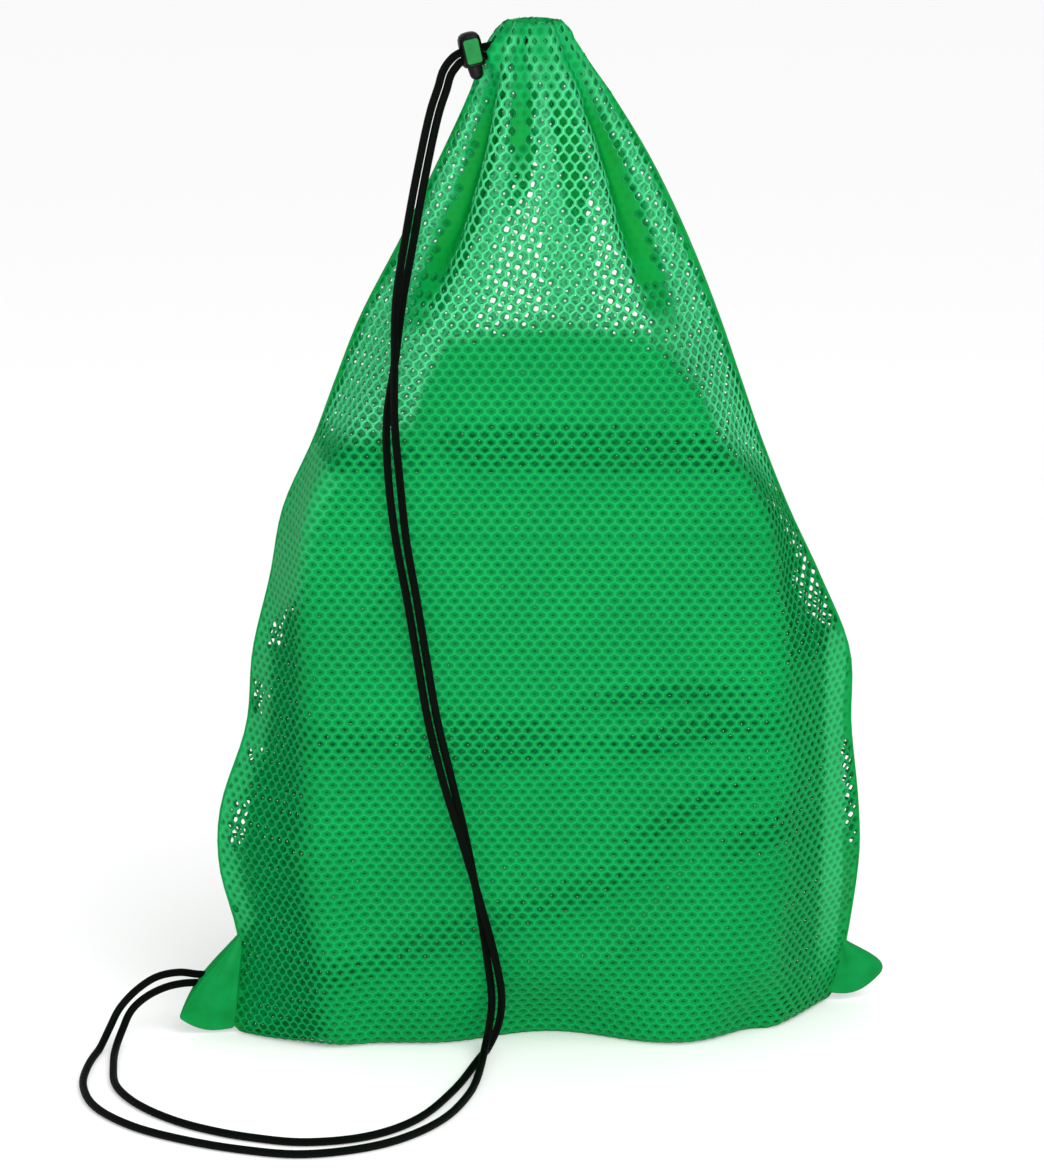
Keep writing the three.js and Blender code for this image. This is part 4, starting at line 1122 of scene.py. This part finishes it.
def make_corner(side, material):
    corner = CORNERS[side]
    points = []
    swells = []
    out = np.linspace(0, 1, CORNER_COLUMNS + 1)
    for i in range(CORNER_ROWS + 1):
        down = i / CORNER_ROWS
        z = corner["top"] + (corner["bottom"] - corner["top"]) * down
        root = seam_place(side, z)[0] + corner["turn"] * CORNER_ROOT
        sway = float(sway_at(np.array([root]), z)[0])
        widens = math.sin(down * math.pi / 2) ** corner["full"]
        reach = CORNER_LEAST_REACH + (corner["reach"] - CORNER_LEAST_REACH) * widens
        crease = CORNER_CREASE["height"] * np.sin(CORNER_CREASE["waves"] * math.pi * out)
        y = sway - corner["lean"] * out**2 * down + crease * math.sin(math.pi * down)
        sag = CORNER_SAG * np.sin(math.pi * out) * down**3
        points.append(np.stack([root + corner["turn"] * reach * out, y,
                                z + corner["lift"] * out**3 * down - sag], 1))
        full = math.sin(math.pi * min(down * CORNER_SWELL["ends"], 1))
        swells.extend(full * (1 - CORNER_SWELL["less"] * out**2))
    points = placed(np.array(points))
    bm = grid_bmesh(points)
    name = "sewn_corner_" + side
    if corner["turn"] < 0:
        bmesh.ops.reverse_faces(bm, faces=bm.faces)
    piece = new_piece(name, mesh_from(bm, name), material, "bag", ["corner_" + side])
    thicken(piece, corner["thick"], 0, "swell", swells, CORNER_EDGE / corner["thick"])
    soften = piece.modifiers.new("soften", "SUBSURF")
    soften.levels = 2
    soften.render_levels = 2


# Rolled edge of each side seam, thin at the top
SEAM_ROLL = 1.2
SEAM_FOOT = {"left": 56.0, "right": 40.0}
SEAM_TOP = 642.0
SEAM_POINTS = 60
SEAM_THIN = {"least": 0.2, "points": 12}


def make_seam(side, material):
    heights = np.linspace(SEAM_TOP, SEAM_FOOT[side], SEAM_POINTS)
    line = placed([(*seam_place(side, z), z) for z in heights])
    curve, points = rope(side + "_seam", line, SEAM_ROLL, resolution=3)
    for i, point in enumerate(points):
        point.radius = min(1, SEAM_THIN["least"] + i / SEAM_THIN["points"])
    new_piece(side + "_seam", curve, material, "bag")


# Cord lock, in its own millimetres before it is placed
BARREL = {"width": 14.2, "depth": 14, "bottom": -8.75, "bore": 10, "roof": 9.5, "square": 2.8, "sides": 72,
          "soft": 0.45}
# Levels of the barrel from its foot to its crown: height, and share of its outline
BARREL_LEVELS = [(-8.75, 0.86), (-7.35, 1), (6.5, 1), (8.9, 0.955), (10.9, 0.8), (12, 0.58), (12.5, 0.3)]
PLUNGER = {"diameter": 9.4, "top": 6.2, "bottom": -17.3, "travel": 3, "tip": 7.6, "tapers": -9.6,
           "round": 3.3}
INLAY = {"width": 9.4, "bottom": -6.4, "top": 8.7, "corner": 1.6, "thick": 1.3, "proud": 0.2}
LOCK_GAP = 0.3
# Rounding of the sharp edges of the barrel, and of its faces and plunger
BARREL_EDGE = 0.3
SMALL_EDGE = 0.25
BORE_SIDES = 64
# How far cutters reach past what they cut, and half the length of the slot's cutter
CUTTER_PAST = 2
CUTTER_HALF = 15


def extruded(bm, faces):
    """Extrudes faces in place, and returns the new faces and their vertices."""
    grown = bmesh.ops.extrude_face_region(bm, geom=faces)["geom"]
    return [[part for part in grown if isinstance(part, kind)]
            for kind in (bmesh.types.BMFace, bmesh.types.BMVert)]


def round_edges(bm, edges, offset, segments):
    """Rounds some edges by an offset, in a number of segments."""
    bmesh.ops.bevel(bm, geom=edges, offset=offset, affect="EDGES", segments=segments, profile=0.5,
                    material=-1)


def round_bar(low, high, low_radius, high_radius):
    """A round bar along Z between two heights."""
    bm = bmesh.new()
    bmesh.ops.create_cone(bm, cap_ends=True, segments=BORE_SIDES, radius1=low_radius, radius2=high_radius,
                          depth=high - low)
    bmesh.ops.translate(bm, verts=bm.verts, vec=(0, 0, (low + high) / 2))
    return bm


def stadium_cutter(low, high):
    """A round-ended slot along X, from low to high."""
    bm = bmesh.new()
    bmesh.ops.create_circle(bm, cap_ends=True, segments=32, radius=SLOT["width"] / 2)
    for vert in bm.verts:
        vert.co.y += math.copysign((high - low - SLOT["width"]) / 2, vert.co.y)
    along_x = Matrix(((0, 0, 1), (1, 0, 0), (0, 1, 0)))
    bmesh.ops.rotate(bm, verts=bm.verts, cent=(0, 0, 0), matrix=along_x)
    bmesh.ops.translate(bm, verts=bm.verts, vec=(-CUTTER_HALF, 0, (low + high) / 2))
    verts = extruded(bm, bm.faces[:])[1]
    bmesh.ops.translate(bm, verts=verts, vec=(2 * CUTTER_HALF, 0, 0))
    bmesh.ops.recalc_face_normals(bm, faces=bm.faces)
    return bm


def plate(facing, inner, outer, grow):
    """A round-cornered plate on the barrel's front or back, between two distances from its middle."""
    bm = bmesh.new()
    half = INLAY["width"] / 2 + grow
    low = INLAY["bottom"] - grow
    high = INLAY["top"] + grow
    bmesh.ops.create_cube(bm, size=1)
    bmesh.ops.scale(bm, verts=bm.verts, vec=(2 * half, outer - inner, high - low))
    bmesh.ops.translate(bm, verts=bm.verts, vec=(0, facing * (inner + outer) / 2, (low + high) / 2))
    upright = [e for e in bm.edges if abs(e.verts[0].co.y - e.verts[1].co.y) > 0.1]
    round_edges(bm, upright, INLAY["corner"], 6)
    return bm


def cut_mesh(bm, name, cutters):
    """The bmesh with each cutter taken out of it, as a new mesh."""
    target = linked(name, mesh_from(bm, name))
    tools = []
    for cutter in cutters:
        tool = linked(name + "_cutter", mesh_from(cutter, name + "_cutter"))
        cut = target.modifiers.new("cut", "BOOLEAN")
        cut.operation = "DIFFERENCE"
        cut.solver = "EXACT"
        cut.object = tool
        tools.append(tool)
    mesh = bpy.data.meshes.new_from_object(target.evaluated_get(bpy.context.evaluated_depsgraph_get()))
    for spare in tools + [target]:
        bpy.data.objects.remove(spare)
    return mesh


def lock_piece(name, mesh, material, body, node, edge):
    """Places a piece of the lock, with its sharp edges rounded."""
    mesh.transform(Matrix.Translation(Vector(-ORIGIN * MM)) @ Matrix.Scale(MM, 4) @ LOCK_PLACE)
    mesh.polygons.foreach_set("use_smooth", [True] * len(mesh.polygons))
    piece = new_piece(name, mesh, material, body, [node])
    rounded = piece.modifiers.new("edges", "BEVEL")
    rounded.width = edge * MM
    rounded.segments = 3
    rounded.limit_method = "ANGLE"
    rounded.angle_limit = math.radians(32)
    rounded.harden_normals = True


def barrel_shell():
    """The barrel without its bore, slot and pockets: one squarish outline, scaled from level to level."""
    bm = bmesh.new()
    bmesh.ops.create_circle(bm, cap_ends=True, segments=BARREL["sides"], radius=1)
    power = 2 / BARREL["square"]
    for vert in bm.verts:
        angle = math.atan2(vert.co.y, vert.co.x)
        for axis, size, side in ((0, "width", math.cos(angle)), (1, "depth", math.sin(angle))):
            vert.co[axis] = math.copysign(abs(side) ** power, side) * BARREL[size] / 2
    (z, share), *rest = BARREL_LEVELS
    bmesh.ops.scale(bm, verts=bm.verts, vec=(share, share, 1))
    bmesh.ops.translate(bm, verts=bm.verts, vec=(0, 0, z))
    top = bm.faces[:]
    for next_z, next_share in rest:
        top, verts = extruded(bm, top)
        bmesh.ops.scale(bm, verts=verts, vec=(next_share / share, next_share / share, 1))
        bmesh.ops.translate(bm, verts=verts, vec=(0, 0, next_z - z))
        z, share = next_z, next_share
    bmesh.ops.recalc_face_normals(bm, faces=bm.faces)
    level = [e for e in bm.edges if abs(e.verts[0].co.z - e.verts[1].co.z) < 0.01]
    round_edges(bm, [e for e in level if e.calc_face_angle(0) > 0], BARREL["soft"], 2)
    return bm


def plunger_rod():
    """The plunger without its slot: a tapered tip with a rounded foot, and a straight rod above."""
    rod = round_bar(PLUNGER["bottom"], PLUNGER["tapers"], PLUNGER["tip"] / 2, PLUNGER["diameter"] / 2)
    crown = [f for f in rod.faces if f.normal.z > 0.9]
    verts = extruded(rod, crown)[1]
    bmesh.ops.translate(rod, verts=verts, vec=(0, 0, PLUNGER["top"] - PLUNGER["tapers"]))
    bmesh.ops.delete(rod, geom=crown, context="FACES_ONLY")
    foot = [e for e in rod.edges if max(v.co.z for v in e.verts) < PLUNGER["bottom"] + 0.1]
    round_edges(rod, foot, PLUNGER["round"], 8)
    return rod


def make_lock(black, green):
    outer = BARREL["depth"] / 2 + INLAY["proud"]
    inner = outer - INLAY["thick"]
    low = SLOT["middle"] - SLOT["half"]
    high = SLOT["middle"] + SLOT["half"]
    half = BARREL["bore"] / 2
    bore = round_bar(BARREL["bottom"] - CUTTER_PAST, BARREL["roof"], half, half)
    pockets = [plate(facing, inner - LOCK_GAP, outer + CUTTER_PAST, LOCK_GAP) for facing in (-1, 1)]
    body = cut_mesh(barrel_shell(), "lock_barrel_shell", [bore, stadium_cutter(low, high)] + pockets)
    lock_piece("cord_lock_barrel", body, black, "bag", "lock_barrel", BARREL_EDGE)
    for name, facing in (("front", -1), ("back", 1)):
        face = mesh_from(plate(facing, inner, outer, 0), "inlay")
        node = "lock_inlay_" + name
        lock_piece("cord_lock_face_" + name, face, green, "bag", node, SMALL_EDGE)
    rod = cut_mesh(plunger_rod(), "lock_plunger_rod", [stadium_cutter(low - PLUNGER["travel"], high)])
    lock_piece("cord_lock_plunger", rod, black, "plunger", "lock_plunger", SMALL_EDGE)


# Floor, light and picture
def make_stage():
    bm = bmesh.new()
    bmesh.ops.create_grid(bm, x_segments=1, y_segments=1, size=6)
    floor = linked("floor", mesh_from(bm, "floor"))
    material, tree = new_material("pale_floor")
    shader = add_node(tree, "ShaderNodeBsdfPrincipled", {"Base Color": linear("#fdfdfd"), "Roughness": 0.7})
    add_node(tree, "ShaderNodeOutputMaterial", {"Surface": shader.outputs["BSDF"]})
    floor.data.materials.append(material)
    world = bpy.data.worlds.new("soft_studio")
    world.use_nodes = True
    sky = world.node_tree.nodes["Background"]
    sky.inputs["Color"].default_value = (1, 1, 1, 1)
    sky.inputs["Strength"].default_value = 0.68
    bpy.context.scene.world = world
    above = bpy.data.lights.new("overhead_softbox", "SUN")
    above.energy = 1.3
    above.angle = math.radians(50)
    softbox = linked("overhead_softbox", above)
    softbox.location = (0.47, -0.5, 0.75)
    softbox.rotation_euler = softbox.location.to_track_quat("Z", "Y").to_euler()
    # A flash at the camera lights the inside of the net where it shows through the holes.
    near = bpy.data.lights.new("flash", "POINT")
    near.energy = 200
    near.shadow_soft_size = 0.003
    linked("flash", near).location = CAMERA_PLACE
    bpy.context.scene.view_settings.view_transform = "Standard"


make_camera()
make_cords()
make_net(knitted_polyester_net())
layers = sewn_net_layers()
make_hem(layers)
for side_name in CORNERS:
    make_corner(side_name, layers)
    make_seam(side_name, layers)
make_lock(moulded_plastic("moulded_acetal_black", "#020302", "#050805", 0.4),
          moulded_plastic("moulded_acetal_green", "#046126", "#066e2f", 0.42))
make_stage()
